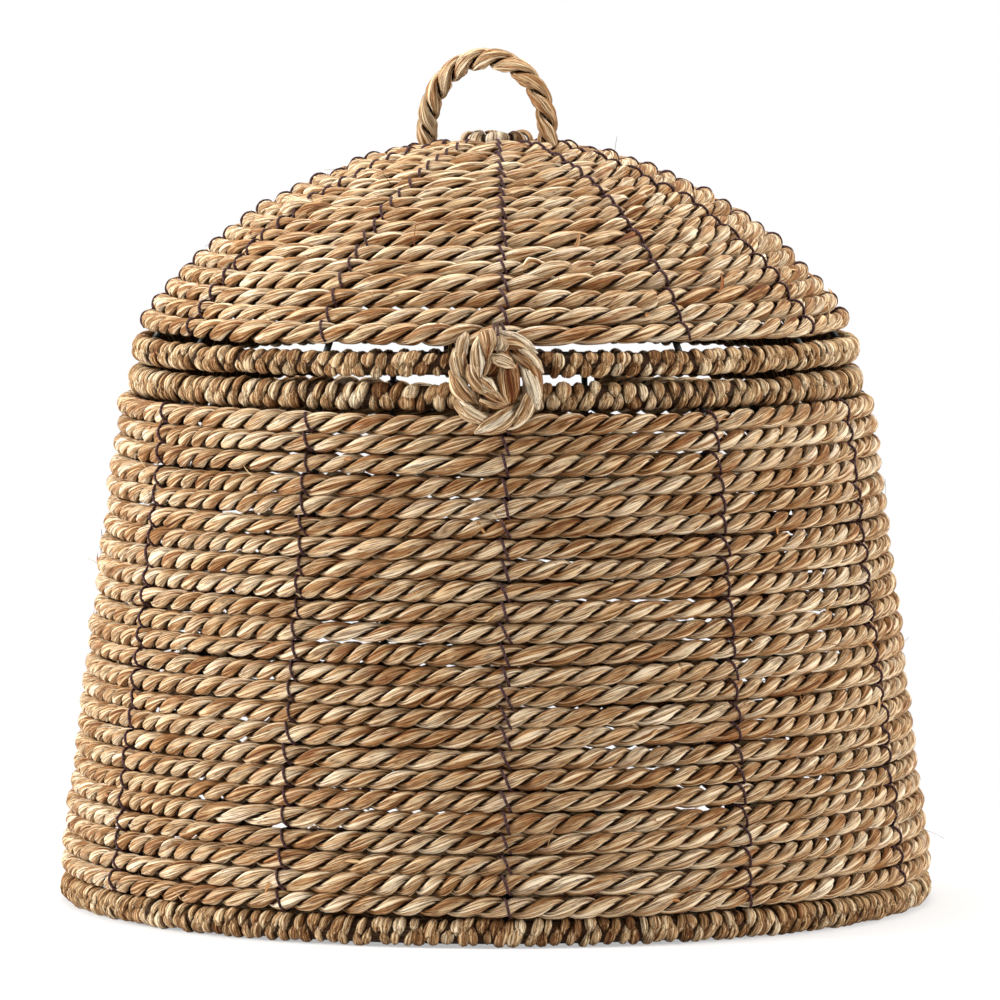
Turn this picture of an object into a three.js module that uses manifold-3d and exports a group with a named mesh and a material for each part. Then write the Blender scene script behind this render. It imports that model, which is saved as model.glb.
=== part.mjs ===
// Round rope basket with a domed lid, a rope bow handle and a loop-and-knot closure.
// Units are millimetres. +Z is up, the front faces -Y, and the origin is the middle of the foot.
import * as THREE from 'three';
import { mergeVertices } from 'three/addons/utils/BufferGeometryUtils.js';
import Module from 'manifold-3d';

const wasm = await Module();
wasm.setup();

// Rope and cord sizes
const rope_diameter = 8.9;
const course_gap = 0.5;
const seat_gap = 0.3;
const wire_diameter = 3.2;
const lacing_diameter = 1.5;
const handle_rope_diameter = 9.5;
const loop_rope_diameter = 9.2;
const tie_thickness = 1.2;
const tie_width = 9;
const binding_diameter = 1.2;

// Basket body sizes
const base_ring_outer_radius = 210;
const base_ring_section = 15;
const body_rim_outer_radius = 176;
const body_rim_section = 14.5;
const body_rim_height = 250;
const wall_foot_inset = 0.7;
const wall_shoulder = 5.3;
const wall_rim_gap = 1;
const floor_thickness = 9;
const floor_lift = 2;

// Lid sizes
const lid_rim_section = 13.2;
const lid_rim_inset = 1.5;
const rim_opening = 2.15;
const lid_rim_gap = 2.3;
const dome_outset = 1.5;
const lid_rise = 100.9;
const lid_rim_wire_shift = 1.4;
const crown_wrap_radius = 16.7;
const crown_wrap_thickness = 9;
const crown_lift = 3;
const crown_wire_radius = 12;

// Handle sizes
const handle_rise = 34.6;
const left_foot_radius = 34.5;
const right_foot_radius = 31.5;
const foot_knot_radius = 6.5;
const foot_shank_diameter = 4.4;
const foot_play = 0.6;

// Closure sizes
const loop_width = 44;
const loop_hang = 37.9;
const loop_drop = 1.8;
const knot_diameter = 19.6;
const knot_reach = 13.5;
const knot_rise = 18;
const knot_sideways = -1;
const stem_diameter = 7;
const stem_depth = 4.5;

// Hinge sizes
const hinge_outset = 4;

// Counts, angles and shares
const full_turn = 2 * Math.PI;
const body_uprights = 11;
const lid_ribs = 12;
const steps_per_gap = 2;
const rope_sides = 4;
const wire_sides = 4;
const ring_sides = 8;
const lacing_sides = 3;
const bow_sides = 8;
const bow_steps = 14;
const rib_steps = 5;
const lid_lacing_steps = 8;
const loop_steps = 18;
const tight_arc_steps = 6;
const knot_steps = 6;
const knot_sides = 10;
const foot_steps = 5;
const foot_sides = 8;
const dome_samples = 400;
const front_meridian = THREE.MathUtils.degToRad(1.3);
const left_foot_azimuth = THREE.MathUtils.degToRad(-107);
const right_foot_azimuth = THREE.MathUtils.degToRad(53.2);
const level_share = 0.86;
const climb_start_share = 0.59;
const dome_power = 1.32;
const chamfer_share = 1 / 2;
const lowest_gap_allowed = 0.4;

// Sizes that follow
const rope_radius = rope_diameter / 2;
const wire_radius = wire_diameter / 2;
const lacing_radius = lacing_diameter / 2;
const handle_rope_radius = handle_rope_diameter / 2;
const loop_rope_radius = loop_rope_diameter / 2;
const nominal_pitch = rope_diameter + course_gap;
const flat_share = Math.cos(full_turn / (2 * ring_sides));
const base_ring_radius = base_ring_outer_radius - base_ring_section / 2;
const base_ring_height = base_ring_section / 2 * flat_share;
const body_rim_radius = body_rim_outer_radius - body_rim_section / 2;
const lid_rim_radius = body_rim_outer_radius - lid_rim_inset - lid_rim_section / 2;
const rim_mid_height = body_rim_height + (body_rim_section * flat_share + rim_opening) / 2;
const lid_rim_height = rim_mid_height + (rim_opening + lid_rim_section * flat_share) / 2;
const wire_offset = rope_radius + seat_gap + wire_radius;
const lacing_offset = rope_radius + seat_gap + lacing_radius;
const wall_steps = steps_per_gap * body_uprights;
const lid_steps = steps_per_gap * lid_ribs;

// Materials, one per finish
const rope_finish = { color: 0xb99a68, roughness: 0.85, metalness: 0 };
const wrap_finish = { color: 0x8c6b43, roughness: 0.85, metalness: 0 };
const thread_finish = { color: 0x4a3033, roughness: 0.8, metalness: 0 };
const wire_finish = { color: 0x6f7b88, roughness: 0.45, metalness: 0.9 };

const basket = new THREE.Group();

function addPiece(name, geometry, finish) {
  const mesh = new THREE.Mesh(geometry, new THREE.MeshStandardMaterial(finish));
  mesh.name = name;
  basket.add(mesh);
  return mesh;
}

// A place given by its distance from the middle, its angle from the front towards +X, and its height
function around(radius, azimuth, height) {
  return new THREE.Vector3(radius * Math.sin(azimuth), -radius * Math.cos(azimuth), height);
}

function meridianAzimuth(index, count) {
  return front_meridian + index / count * full_turn;
}

// Signed volume, used to turn every solid's faces outward
function signedVolume(geometry) {
  const place = geometry.getAttribute('position');
  const index = geometry.getIndex();
  const corners = [new THREE.Vector3(), new THREE.Vector3(), new THREE.Vector3()];
  let volume = 0;
  for (let face = 0; face < index.count; face += 3) {
    corners.forEach((corner, step) => corner.fromBufferAttribute(place, index.getX(face + step)));
    volume += corners[0].dot(corners[1].clone().cross(corners[2])) / 6;
  }
  return volume;
}

function facingOut(geometry) {
  if (signedVolume(geometry) < 0) {
    const index = geometry.getIndex();
    for (let face = 0; face < index.count; face += 3) {
      const kept = index.getX(face);
      index.setX(face, index.getX(face + 1));
      index.setX(face + 1, kept);
    }
  }
  geometry.computeVertexNormals();
  return geometry;
}

function cleaned(geometry) {
  geometry.deleteAttribute('normal');
  geometry.deleteAttribute('uv');
  return facingOut(mergeVertices(geometry));
}

function toSolid(geometry) {
  const bare = cleaned(geometry.clone());
  const mesh = new wasm.Mesh({
    numProp: 3,
    vertProperties: new Float32Array(bare.getAttribute('position').array),
    triVerts: new Uint32Array(bare.getIndex().array),
  });
  return new wasm.Manifold(mesh);
}

function fromSolid(solid) {
  const mesh = solid.getMesh();
  const geometry = new THREE.BufferGeometry();
  geometry.setAttribute('position', new THREE.BufferAttribute(new Float32Array(mesh.vertProperties), 3));
  geometry.setIndex(new THREE.BufferAttribute(new Uint32Array(mesh.triVerts), 1));
  geometry.computeVertexNormals();
  return geometry;
}

function minus(geometry, cutters) {
  let solid = toSolid(geometry);
  for (const cutter of cutters) {
    solid = solid.subtract(toSolid(cutter));
  }
  return fromSolid(solid);
}

function joined(geometries) {
  let solid = toSolid(geometries[0]);
  for (const geometry of geometries.slice(1)) {
    solid = solid.add(toSolid(geometry));
  }
  return fromSolid(solid);
}

// The points of a tube's section at one station, corner first along its outward direction
function sectionPoints(station, radius, sides) {
  const points = [];
  for (let side = 0; side < sides; side += 1) {
    const turn = side / sides * full_turn;
    const point = station.centre.clone();
    point.addScaledVector(station.out, Math.cos(turn) * radius);
    point.addScaledVector(station.up, Math.sin(turn) * radius);
    points.push(point);
  }
  return points;
}

// A tube through stations, open along its route or closed into a ring
function tube(stations, radius, sides, closed = false) {
  const places = [];
  const faces = [];
  for (const station of stations) {
    for (const point of sectionPoints(station, radius, sides)) {
      places.push(point.x, point.y, point.z);
    }
  }
  const spans = closed ? stations.length : stations.length - 1;
  for (let span = 0; span < spans; span += 1) {
    const here = span * sides;
    const next = (span + 1) % stations.length * sides;
    for (let side = 0; side < sides; side += 1) {
      const beside = (side + 1) % sides;
      faces.push(here + side, next + side, next + beside);
      faces.push(here + side, next + beside, here + beside);
    }
  }
  if (!closed) {
    const last = (stations.length - 1) * sides;
    for (let side = 1; side < sides - 1; side += 1) {
      faces.push(0, side, side + 1);
      faces.push(last, last + side + 1, last + side);
    }
  }
  const geometry = new THREE.BufferGeometry();
  geometry.setAttribute('position', new THREE.BufferAttribute(new Float32Array(places), 3));
  geometry.setIndex(new THREE.BufferAttribute(new Uint32Array(faces), 1));
  return facingOut(geometry);
}

// A round ring of any section, its corners on the lid's ribs
function ring(profile, steps = lid_steps) {
  const geometry = new THREE.LatheGeometry(profile, steps, front_meridian, full_turn);
  geometry.rotateX(full_turn / 4);
  return cleaned(geometry);
}

function roundProfile(radius, height, section_radius, sides, first_share = 0) {
  const profile = [];
  for (let side = 0; side <= sides; side += 1) {
    const turn = (side % sides + first_share) / sides * full_turn;
    const across = radius + section_radius * Math.cos(turn);
    const along = height + section_radius * Math.sin(turn);
    profile.push(new THREE.Vector2(across, along));
  }
  return profile;
}

function wrappedRing(radius, height, section) {
  return ring(roundProfile(radius, height, section / 2, ring_sides, 1 / 2));
}

function wireRing(radius, height, spare) {
  return ring(roundProfile(radius, height, wire_radius + spare, wire_sides));
}

// A straight bar with its section square to it
function bar(start, end, radius, sides) {
  const along = end.clone().sub(start).normalize();
  const out = new THREE.Vector3(-along.z * start.x, -along.z * start.y, 0);
  out.addScaledVector(along, -out.dot(along)).normalize();
  if (out.lengthSq() === 0) {
    out.set(1, 0, 0);
  }
  const up = along.clone().cross(out);
  return tube([{ centre: start, out, up }, { centre: end, out, up }], radius, sides);
}

// The wall line, a straight slope from the lowest course to the highest
const wall_foot = {
  radius: base_ring_outer_radius - wall_foot_inset - rope_radius,
  height: 2 * base_ring_height + course_gap + rope_radius,
};
const wall_top = {
  radius: body_rim_outer_radius + wall_shoulder - rope_radius,
  height: body_rim_height - body_rim_section / 2 * flat_share - wall_rim_gap - rope_radius,
};
const wall_run = wall_top.radius - wall_foot.radius;
const wall_climb = wall_top.height - wall_foot.height;
const wall_length = Math.hypot(wall_run, wall_climb);
const wall_courses = Math.floor(wall_length / nominal_pitch);
const wall_slope = { run: wall_run / wall_length, climb: wall_climb / wall_length };

// A place on the wall line, moved outward square to the line
function wallPoint(length, offset) {
  return {
    radius: wall_foot.radius + wall_slope.run * length + wall_slope.climb * offset,
    height: wall_foot.height + wall_slope.climb * length - wall_slope.run * offset,
  };
}

function wallLengthAt(height, offset) {
  return (height - wall_foot.height + wall_slope.run * offset) / wall_slope.climb;
}

// The lid line, from the lowest lid course over the dome to the crown
const dome_radius = body_rim_outer_radius - lid_rim_inset + dome_outset - rope_radius;
const dome_rise = lid_rise - rope_radius;
const lid_first_rise = lid_rim_section / 2 + lid_rim_gap + rope_radius;

function domeRadius(rise) {
  return dome_radius * Math.sqrt(Math.max(0, 1 - (rise / dome_rise) ** dome_power));
}

function domeRise(radius) {
  return dome_rise * (1 - (radius / dome_radius) ** 2) ** (1 / dome_power);
}

const lid_crown_radius = crown_wrap_radius + course_gap + rope_radius;
const first_bearing = Math.asin(domeRadius(lid_first_rise) / dome_radius);
const last_bearing = Math.asin(lid_crown_radius / dome_radius);
const dome_line = [];
for (let sample = 0; sample <= dome_samples; sample += 1) {
  const bearing = first_bearing + (last_bearing - first_bearing) * sample / dome_samples;
  const radius = dome_radius * Math.sin(bearing);
  const rise = domeRise(radius);
  const before = dome_line[sample - 1];
  const length = before ? before.length + Math.hypot(radius - before.radius, rise - before.rise) : 0;
  dome_line.push({ radius, rise, length });
}
const dome_length = dome_line[dome_samples].length;
const lid_courses = Math.floor(dome_length / nominal_pitch);
const lid_pitch = dome_length / lid_courses;

// A place on the lid line, moved outward square to the line
function lidPoint(length, offset) {
  const kept = THREE.MathUtils.clamp(length, 0, dome_length);
  let upper = 1;
  while (upper < dome_samples && dome_line[upper].length < kept) {
    upper += 1;
  }
  const low = dome_line[upper - 1];
  const high = dome_line[upper];
  const share = (kept - low.length) / (high.length - low.length);
  const run = (high.radius - low.radius) / (high.length - low.length);
  const climb = (high.rise - low.rise) / (high.length - low.length);
  return {
    radius: low.radius + (high.radius - low.radius) * share + climb * offset,
    height: lid_rim_height + low.rise + (high.rise - low.rise) * share - run * offset,
    run,
    climb,
  };
}

// How far a coil has climbed, in courses: level first, then a soft step at the back.
// The step spreads over the whole turn as even_share goes from 0 to 1.
function coursesClimbed(turns, even_share) {
  const whole = Math.floor(turns);
  const part = turns - whole;
  const stepped = THREE.MathUtils.smoothstep(part, level_share, 1);
  return whole + stepped + (part - stepped) * even_share;
}

// A coil's start, on the station nearest to its share of a turn past the front
function coilStart(steps_per_turn) {
  return front_meridian + Math.round(climb_start_share * steps_per_turn) / steps_per_turn * full_turn;
}

// Stations along a coil of rope
function coilStations(turns, pitch, steps_per_turn, pointAt, evenShareAt) {
  const stations = [];
  const steps = Math.round(turns * steps_per_turn);
  for (let step = 0; step <= steps; step += 1) {
    const turn = step / steps_per_turn;
    const azimuth = coilStart(steps_per_turn) + turn * full_turn;
    const length = coursesClimbed(turn, evenShareAt(turn)) * pitch;
    const place = pointAt(length, 0);
    const outer = pointAt(length, 1);
    const centre = around(place.radius, azimuth, place.height);
    const out = around(outer.radius, azimuth, outer.height).sub(centre).normalize();
    const side = around(1, azimuth + full_turn / 4, 0);
    const up = out.clone().cross(side).normalize();
    stations.push({ centre, out, up });
  }
  return stations;
}

// The least gap between one turn of a coil and the next, measured on the sections' points
function leastGap(stations, steps_per_turn, radius, sides) {
  let least = Infinity;
  for (let step = 0; step + steps_per_turn + 1 < stations.length; step += 1) {
    const here = sectionPoints(stations[step], radius, sides);
    for (const ahead of [-1, 0, 1]) {
      const beside = sectionPoints(stations[step + steps_per_turn + ahead], radius, sides);
      for (const point of here) {
        for (const other of beside) {
          least = Math.min(least, point.distanceTo(other));
        }
      }
    }
  }
  return least;
}

function printGap(name, stations, steps_per_turn) {
  const least = leastGap(stations, steps_per_turn, rope_radius, rope_sides);
  const verdict = least > lowest_gap_allowed ? 'clear' : 'too close';
  console.log(`${name}: least gap between turns ${least.toFixed(2)} mm, ${verdict}`);
}

// Wire frame of the body: a foot ring, a rim ring and the uprights welded between them
function bodyFrameParts(spare) {
  const foot_length = wallLengthAt(base_ring_height, -wire_offset);
  const rim_length = wallLengthAt(body_rim_height, -wire_offset);
  const foot = wallPoint(foot_length, -wire_offset);
  const rim = wallPoint(rim_length, -wire_offset);
  const parts = [wireRing(foot.radius, foot.height, spare), wireRing(rim.radius, rim.height, spare)];
  for (let index = 0; index < body_uprights; index += 1) {
    const azimuth = meridianAzimuth(index, body_uprights);
    const low = around(foot.radius, azimuth, foot.height);
    const high = around(rim.radius, azimuth, rim.height);
    parts.push(bar(low, high, wire_radius + spare, wire_sides));
  }
  return parts;
}

// Wire frame of the lid: a rim ring, a crown ring and the ribs welded between them
const crown_height = lid_rim_height + domeRise(crown_wrap_radius) + crown_lift;
const crown_wire_height = crown_height - crown_wrap_thickness / 2 + wire_diameter;

function ribStations(azimuth) {
  const side = around(1, azimuth + full_turn / 4, 0);
  const places = [{ radius: lid_rim_radius - lid_rim_wire_shift, height: lid_rim_height }];
  for (let step = 0; step <= rib_steps; step += 1) {
    places.push(lidPoint(dome_length * step / rib_steps, -wire_offset));
  }
  places.push({ radius: crown_wire_radius, height: crown_wire_height });
  return places.map((place, step) => {
    const before = places[Math.max(0, step - 1)];
    const after = places[Math.min(places.length - 1, step + 1)];
    const run = after.radius - before.radius;
    const climb = after.height - before.height;
    const out = around(climb, azimuth, -run).normalize();
    return { centre: around(place.radius, azimuth, place.height), out, up: side };
  });
}

function lidFrameParts(spare) {
  const rim_wire_radius = lid_rim_radius - lid_rim_wire_shift;
  const crown_ring = roundProfile(crown_wire_radius, crown_wire_height, wire_radius + spare, wire_sides);
  const parts = [wireRing(rim_wire_radius, lid_rim_height, spare), ring(crown_ring, lid_ribs)];
  for (let index = 0; index < lid_ribs; index += 1) {
    parts.push(tube(ribStations(meridianAzimuth(index, lid_ribs)), wire_radius + spare, wire_sides));
  }
  return parts;
}

const body_frame_cutters = bodyFrameParts(seat_gap);
const lid_frame_cutters = lidFrameParts(seat_gap);

// Closure: a rope loop on the lid's lowest course, round a knot that stands on the body rim
const lid_front = lidPoint(0, 0);
const loop_reach = rope_radius + seat_gap + loop_rope_radius;
const loop_top = {
  y: -lid_front.radius - Math.sqrt(loop_reach ** 2 - loop_drop ** 2),
  z: lid_front.height - loop_drop,
};
const wall_face = wallPoint(wall_length, lacing_offset + lacing_radius);
const loop_bottom = {
  y: -wall_face.radius - seat_gap - loop_rope_radius,
  z: loop_top.z - loop_hang,
};
const loop_half_height = Math.hypot(loop_top.y - loop_bottom.y, loop_top.z - loop_bottom.z) / 2;
const loop_half_width = loop_width / 2 - loop_rope_radius;

function closureLoop() {
  const down = new THREE.Vector3(0, loop_bottom.y - loop_top.y, loop_bottom.z - loop_top.z).normalize();
  const sideways = new THREE.Vector3(1, 0, 0);
  const face = sideways.clone().cross(down);
  const middle_y = (loop_top.y + loop_bottom.y) / 2;
  const middle_z = (loop_top.z + loop_bottom.z) / 2;
  const stations = [];
  for (let step = 0; step < loop_steps; step += 1) {
    const turn = step / loop_steps * full_turn;
    const centre = new THREE.Vector3(0, middle_y, middle_z);
    centre.addScaledVector(sideways, loop_half_width * Math.sin(turn));
    centre.addScaledVector(down, -loop_half_height * Math.cos(turn));
    const out = sideways.clone().multiplyScalar(loop_half_height * Math.sin(turn));
    out.addScaledVector(down, -loop_half_width * Math.cos(turn)).normalize();
    stations.push({ centre, out, up: face });
  }
  return tube(stations, loop_rope_radius, bow_sides, true);
}

// The outline of a cord pulled tight round two round pieces, as points of a closed path
function tightOutline(first, second, first_radius, second_radius) {
  const gap = new THREE.Vector2(second.x - first.x, second.y - first.y);
  const heading = Math.atan2(gap.y, gap.x);
  const lean = Math.asin((first_radius - second_radius) / gap.length());
  const points = [];
  const addArc = (centre, radius, from, sweep) => {
    for (let step = 0; step <= tight_arc_steps; step += 1) {
      const turn = from + sweep * step / tight_arc_steps;
      points.push(new THREE.Vector2(centre.x + radius * Math.cos(turn), centre.y + radius * Math.sin(turn)));
    }
  };
  const quarter = full_turn / 4;
  addArc(second, second_radius, heading - quarter + lean, full_turn / 2 - 2 * lean);
  addArc(first, first_radius, heading + quarter - lean, full_turn / 2 + 2 * lean);
  return points;
}

function bindingStations() {
  const path_radius = binding_diameter / 2 + seat_gap;
  const course = new THREE.Vector2(-lid_front.radius, lid_front.height);
  const loop = new THREE.Vector2(loop_top.y, loop_top.z);
  const outline = tightOutline(course, loop, rope_radius + path_radius, loop_rope_radius + path_radius);
  return outline.map((point, step) => {
    const before = outline[(step + outline.length - 1) % outline.length];
    const after = outline[(step + 1) % outline.length];
    const along = new THREE.Vector3(0, after.x - before.x, after.y - before.y).normalize();
    const up = new THREE.Vector3(1, 0, 0);
    return { centre: new THREE.Vector3(0, point.x, point.y), out: along.clone().cross(up), up };
  });
}

const binding_stations = bindingStations();
const binding_cutter = tube(binding_stations, binding_diameter / 2 + seat_gap, rope_sides, true);

// Knot and stem, turned about the stem's own line
const knot_centre = new THREE.Vector3(
  knot_sideways,
  -body_rim_outer_radius - knot_reach,
  body_rim_height + knot_rise,
);
const stem_root = new THREE.Vector3(knot_sideways, stem_depth - body_rim_outer_radius, body_rim_height);

function turnedPiece(profile, base, direction, steps) {
  const geometry = new THREE.LatheGeometry(profile, steps);
  const turn = new THREE.Quaternion().setFromUnitVectors(new THREE.Vector3(0, 1, 0), direction);
  geometry.applyQuaternion(turn);
  geometry.translate(base.x, base.y, base.z);
  return cleaned(geometry);
}

function knotWithStem(spare) {
  const span = knot_centre.clone().sub(stem_root);
  const knot_radius = knot_diameter / 2;
  const stem_radius = stem_diameter / 2 + spare;
  const neck = span.length() - Math.sqrt(knot_radius ** 2 - stem_radius ** 2);
  const neck_turn = Math.atan2(neck - span.length(), stem_radius);
  const profile = [new THREE.Vector2(0, -spare), new THREE.Vector2(stem_radius, -spare)];
  for (let step = 0; step <= knot_steps; step += 1) {
    const turn = neck_turn + (full_turn / 4 - neck_turn) * step / knot_steps;
    const across = step === knot_steps ? 0 : knot_radius * Math.cos(turn);
    profile.push(new THREE.Vector2(across, span.length() + knot_radius * Math.sin(turn)));
  }
  return turnedPiece(profile, stem_root, span.normalize(), knot_sides);
}

// Handle feet, each in the seam between two lid courses
function lidCourseLength(turn) {
  return coursesClimbed(turn, turn / lid_courses) * lid_pitch;
}

function seamNear(radius, azimuth) {
  const part = THREE.MathUtils.euclideanModulo((azimuth - coilStart(lid_steps)) / full_turn, 1);
  let best = null;
  for (let whole = 0; whole + part + 1 <= lid_courses; whole += 1) {
    const length = (lidCourseLength(whole + part) + lidCourseLength(whole + part + 1)) / 2;
    const place = lidPoint(length, 0);
    if (best === null || Math.abs(place.radius - radius) < Math.abs(best.radius - radius)) {
      best = place;
    }
  }
  return best;
}

const left_seam = seamNear(left_foot_radius, left_foot_azimuth);
const right_seam = seamNear(right_foot_radius, right_foot_azimuth);
const handle_axis_height = Math.max(left_seam.height, right_seam.height)
  + rope_radius + foot_play + handle_rope_radius;
const left_foot = around(left_seam.radius, left_foot_azimuth, handle_axis_height);
const right_foot = around(right_seam.radius, right_foot_azimuth, handle_axis_height);

function footAnchor(foot, seam, spare) {
  const shank_radius = foot_shank_diameter / 2 + spare;
  const shank_top = handle_axis_height - handle_rope_radius - seat_gap;
  const knot_top = seam.height - wire_offset - wire_radius - seat_gap;
  const knot_middle = knot_top - foot_knot_radius;
  const profile = [];
  const shank_turn = Math.acos(shank_radius / foot_knot_radius);
  for (let step = 0; step <= foot_steps; step += 1) {
    const turn = -full_turn / 4 + (full_turn / 4 + shank_turn) * step / foot_steps;
    const across = step === 0 ? 0 : foot_knot_radius * Math.cos(turn);
    profile.push(new THREE.Vector2(across, foot_knot_radius * Math.sin(turn)));
  }
  profile.push(new THREE.Vector2(shank_radius, shank_top - knot_middle));
  profile.push(new THREE.Vector2(0, shank_top - knot_middle));
  const base = new THREE.Vector3(foot.x, foot.y, knot_middle);
  return turnedPiece(profile, base, new THREE.Vector3(0, 0, 1), foot_sides);
}

// The bow: half an ellipse between the feet, with round ends about the line of the feet
function handleBow() {
  const middle = left_foot.clone().add(right_foot).divideScalar(2);
  const reach = right_foot.clone().sub(left_foot).divideScalar(2);
  const rise = new THREE.Vector3(0, 0, handle_rise);
  const face = reach.clone().normalize().cross(new THREE.Vector3(0, 0, 1));
  const stations = [];
  for (let step = 0; step <= bow_steps; step += 1) {
    const turn = full_turn / 2 * (1 - step / bow_steps);
    const centre = middle.clone().addScaledVector(reach, Math.cos(turn));
    centre.addScaledVector(rise, Math.sin(turn));
    const across = reach.clone().multiplyScalar(handle_rise * Math.cos(turn));
    const out = across.addScaledVector(rise, reach.length() * Math.sin(turn)).normalize();
    stations.push({ centre, out, up: face });
  }
  const bow = tube(stations, handle_rope_radius, bow_sides);
  const ends = [left_foot, right_foot].map((foot) => {
    const end = new THREE.SphereGeometry(handle_rope_radius, bow_sides, bow_sides);
    end.rotateX(full_turn / 4);
    end.rotateZ(Math.atan2(reach.y, reach.x));
    end.translate(foot.x, foot.y, foot.z);
    return end;
  });
  return joined([bow, ...ends]);
}

// Hinge ties: flat bands pulled tight round both rims, on the flats beside the back meridian
const half_step = full_turn / lid_steps / 2;

function hingeTie(azimuth) {
  const body_rim = new THREE.Vector2(body_rim_radius * Math.cos(half_step), body_rim_height);
  const lid_rim = new THREE.Vector2(lid_rim_radius * Math.cos(half_step), lid_rim_height);
  const inner = [body_rim_section / 2 + seat_gap, lid_rim_section / 2 + seat_gap];
  const outer = inner.map((radius) => radius + tie_thickness);
  const shape = new THREE.Shape(tightOutline(body_rim, lid_rim, outer[0], outer[1]));
  shape.holes.push(new THREE.Path(tightOutline(body_rim, lid_rim, inner[0], inner[1])));
  const geometry = new THREE.ExtrudeGeometry(shape, { depth: tie_width, bevelEnabled: false, steps: 1 });
  geometry.translate(0, 0, -tie_width / 2);
  geometry.rotateX(full_turn / 4);
  geometry.rotateZ(azimuth - full_turn / 4);
  return cleaned(geometry);
}

// Lacing cords, each over the crests of the courses on one meridian
function bodyLacing(azimuth) {
  const low = wallPoint(0, lacing_offset);
  const high = wallPoint(wall_length, lacing_offset);
  const start = around(low.radius, azimuth, low.height);
  const end = around(high.radius, azimuth, high.height);
  return bar(start, end, lacing_radius, lacing_sides);
}

function lidLacing(azimuth) {
  const side = around(1, azimuth + full_turn / 4, 0);
  const stations = [];
  for (let step = 0; step <= lid_lacing_steps; step += 1) {
    const place = lidPoint(dome_length * step / lid_lacing_steps, lacing_offset);
    const out = around(-place.climb, azimuth, place.run).normalize();
    stations.push({ centre: around(place.radius, azimuth, place.height), out, up: side });
  }
  return tube(stations, lacing_radius, lacing_sides);
}

// Floor: one disc, its outside just inside the foot ring
function floorDisc() {
  const edge = base_ring_radius - base_ring_section / 2 - seat_gap;
  const half = floor_thickness / 2;
  const profile = [
    new THREE.Vector2(0, floor_lift),
    new THREE.Vector2(edge - half * chamfer_share, floor_lift),
    new THREE.Vector2(edge, floor_lift + half),
    new THREE.Vector2(edge - half * chamfer_share, floor_lift + floor_thickness),
    new THREE.Vector2(0, floor_lift + floor_thickness),
  ];
  return ring(profile);
}

// Crown: the wrapped start of the lid, round the small wire ring
function crownWrap() {
  const half = crown_wrap_thickness / 2;
  const middle = crown_height;
  const profile = [
    new THREE.Vector2(0, middle - half),
    new THREE.Vector2(crown_wrap_radius - half * chamfer_share, middle - half),
    new THREE.Vector2(crown_wrap_radius, middle),
    new THREE.Vector2(crown_wrap_radius - half * chamfer_share, middle + half),
    new THREE.Vector2(0, middle + half),
  ];
  return ring(profile, lid_ribs);
}

// Basket body
addPiece('body_frame', joined(bodyFrameParts(0)), wire_finish);
const wall_stations = coilStations(
  wall_courses + level_share,
  wall_length / wall_courses,
  wall_steps,
  wallPoint,
  () => 0,
);
printGap('wall_rope', wall_stations, wall_steps);
addPiece('wall_rope', tube(wall_stations, rope_radius, rope_sides), rope_finish);
addPiece('floor_coil', floorDisc(), rope_finish);
const base_ring = wrappedRing(base_ring_radius, base_ring_height, base_ring_section);
addPiece('base_ring_wrap', minus(base_ring, body_frame_cutters), wrap_finish);
const body_rim_ring = wrappedRing(body_rim_radius, body_rim_height, body_rim_section);
const body_rim = minus(body_rim_ring, [...body_frame_cutters, knotWithStem(seat_gap)]);
addPiece('body_rim_wrap', body_rim, wrap_finish);
for (let index = 0; index < body_uprights; index += 1) {
  const number = String(index + 1).padStart(2, '0');
  addPiece(`body_lacing_${number}`, bodyLacing(meridianAzimuth(index, body_uprights)), thread_finish);
}
addPiece('closure_knot', knotWithStem(0), rope_finish);

// Lid
addPiece('lid_frame', joined(lidFrameParts(0)), wire_finish);
const lid_stations = coilStations(lid_courses, lid_pitch, lid_steps, lidPoint, (turn) => turn / lid_courses);
printGap('lid_rope', lid_stations, lid_steps);
const lid_rope_cutters = [
  footAnchor(left_foot, left_seam, seat_gap),
  footAnchor(right_foot, right_seam, seat_gap),
  binding_cutter,
];
const lid_rope = minus(tube(lid_stations, rope_radius, rope_sides), lid_rope_cutters);
addPiece('lid_rope', lid_rope, rope_finish);
const lid_rim_ring = wrappedRing(lid_rim_radius, lid_rim_height, lid_rim_section);
addPiece('lid_rim_wrap', minus(lid_rim_ring, lid_frame_cutters), wrap_finish);
addPiece('crown_wrap', minus(crownWrap(), lid_frame_cutters), wrap_finish);
for (let index = 0; index < lid_ribs; index += 1) {
  const number = String(index + 1).padStart(2, '0');
  addPiece(`lid_lacing_${number}`, lidLacing(meridianAzimuth(index, lid_ribs)), thread_finish);
}
addPiece('handle_foot_left', footAnchor(left_foot, left_seam, 0), rope_finish);
addPiece('handle_foot_right', footAnchor(right_foot, right_seam, 0), rope_finish);
addPiece('handle_bow', handleBow(), rope_finish);

// Closure loop and its binding, and the ties at the back
addPiece('closure_loop', closureLoop(), rope_finish);
addPiece('loop_binding', tube(binding_stations, binding_diameter / 2, rope_sides, true), thread_finish);
const back_meridian = front_meridian + full_turn / 2;
addPiece('hinge_tie_left', hingeTie(back_meridian + half_step), wrap_finish);
addPiece('hinge_tie_right', hingeTie(back_meridian - half_step), wrap_finish);

// The lines that the lid, the handle and the loop turn about
const shown = (value) => value.toFixed(2);
console.log(`lid turns about y ${shown(body_rim_radius + hinge_outset)}, z ${shown(rim_mid_height)}`);
console.log(`loop turns about y ${shown(loop_top.y)}, z ${shown(loop_top.z)}`);
console.log(`handle turns about ${left_foot.toArray().map(shown)} to ${right_foot.toArray().map(shown)}`);

export default basket;
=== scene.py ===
"""Round rope basket with a domed lid, a rope bow handle and a loop-and-knot closure.

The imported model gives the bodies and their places. This script dresses them.
Lengths are in metres and angles in radians, +Z is up, the front faces -Y, and
the origin is the middle of the foot.
"""

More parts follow.
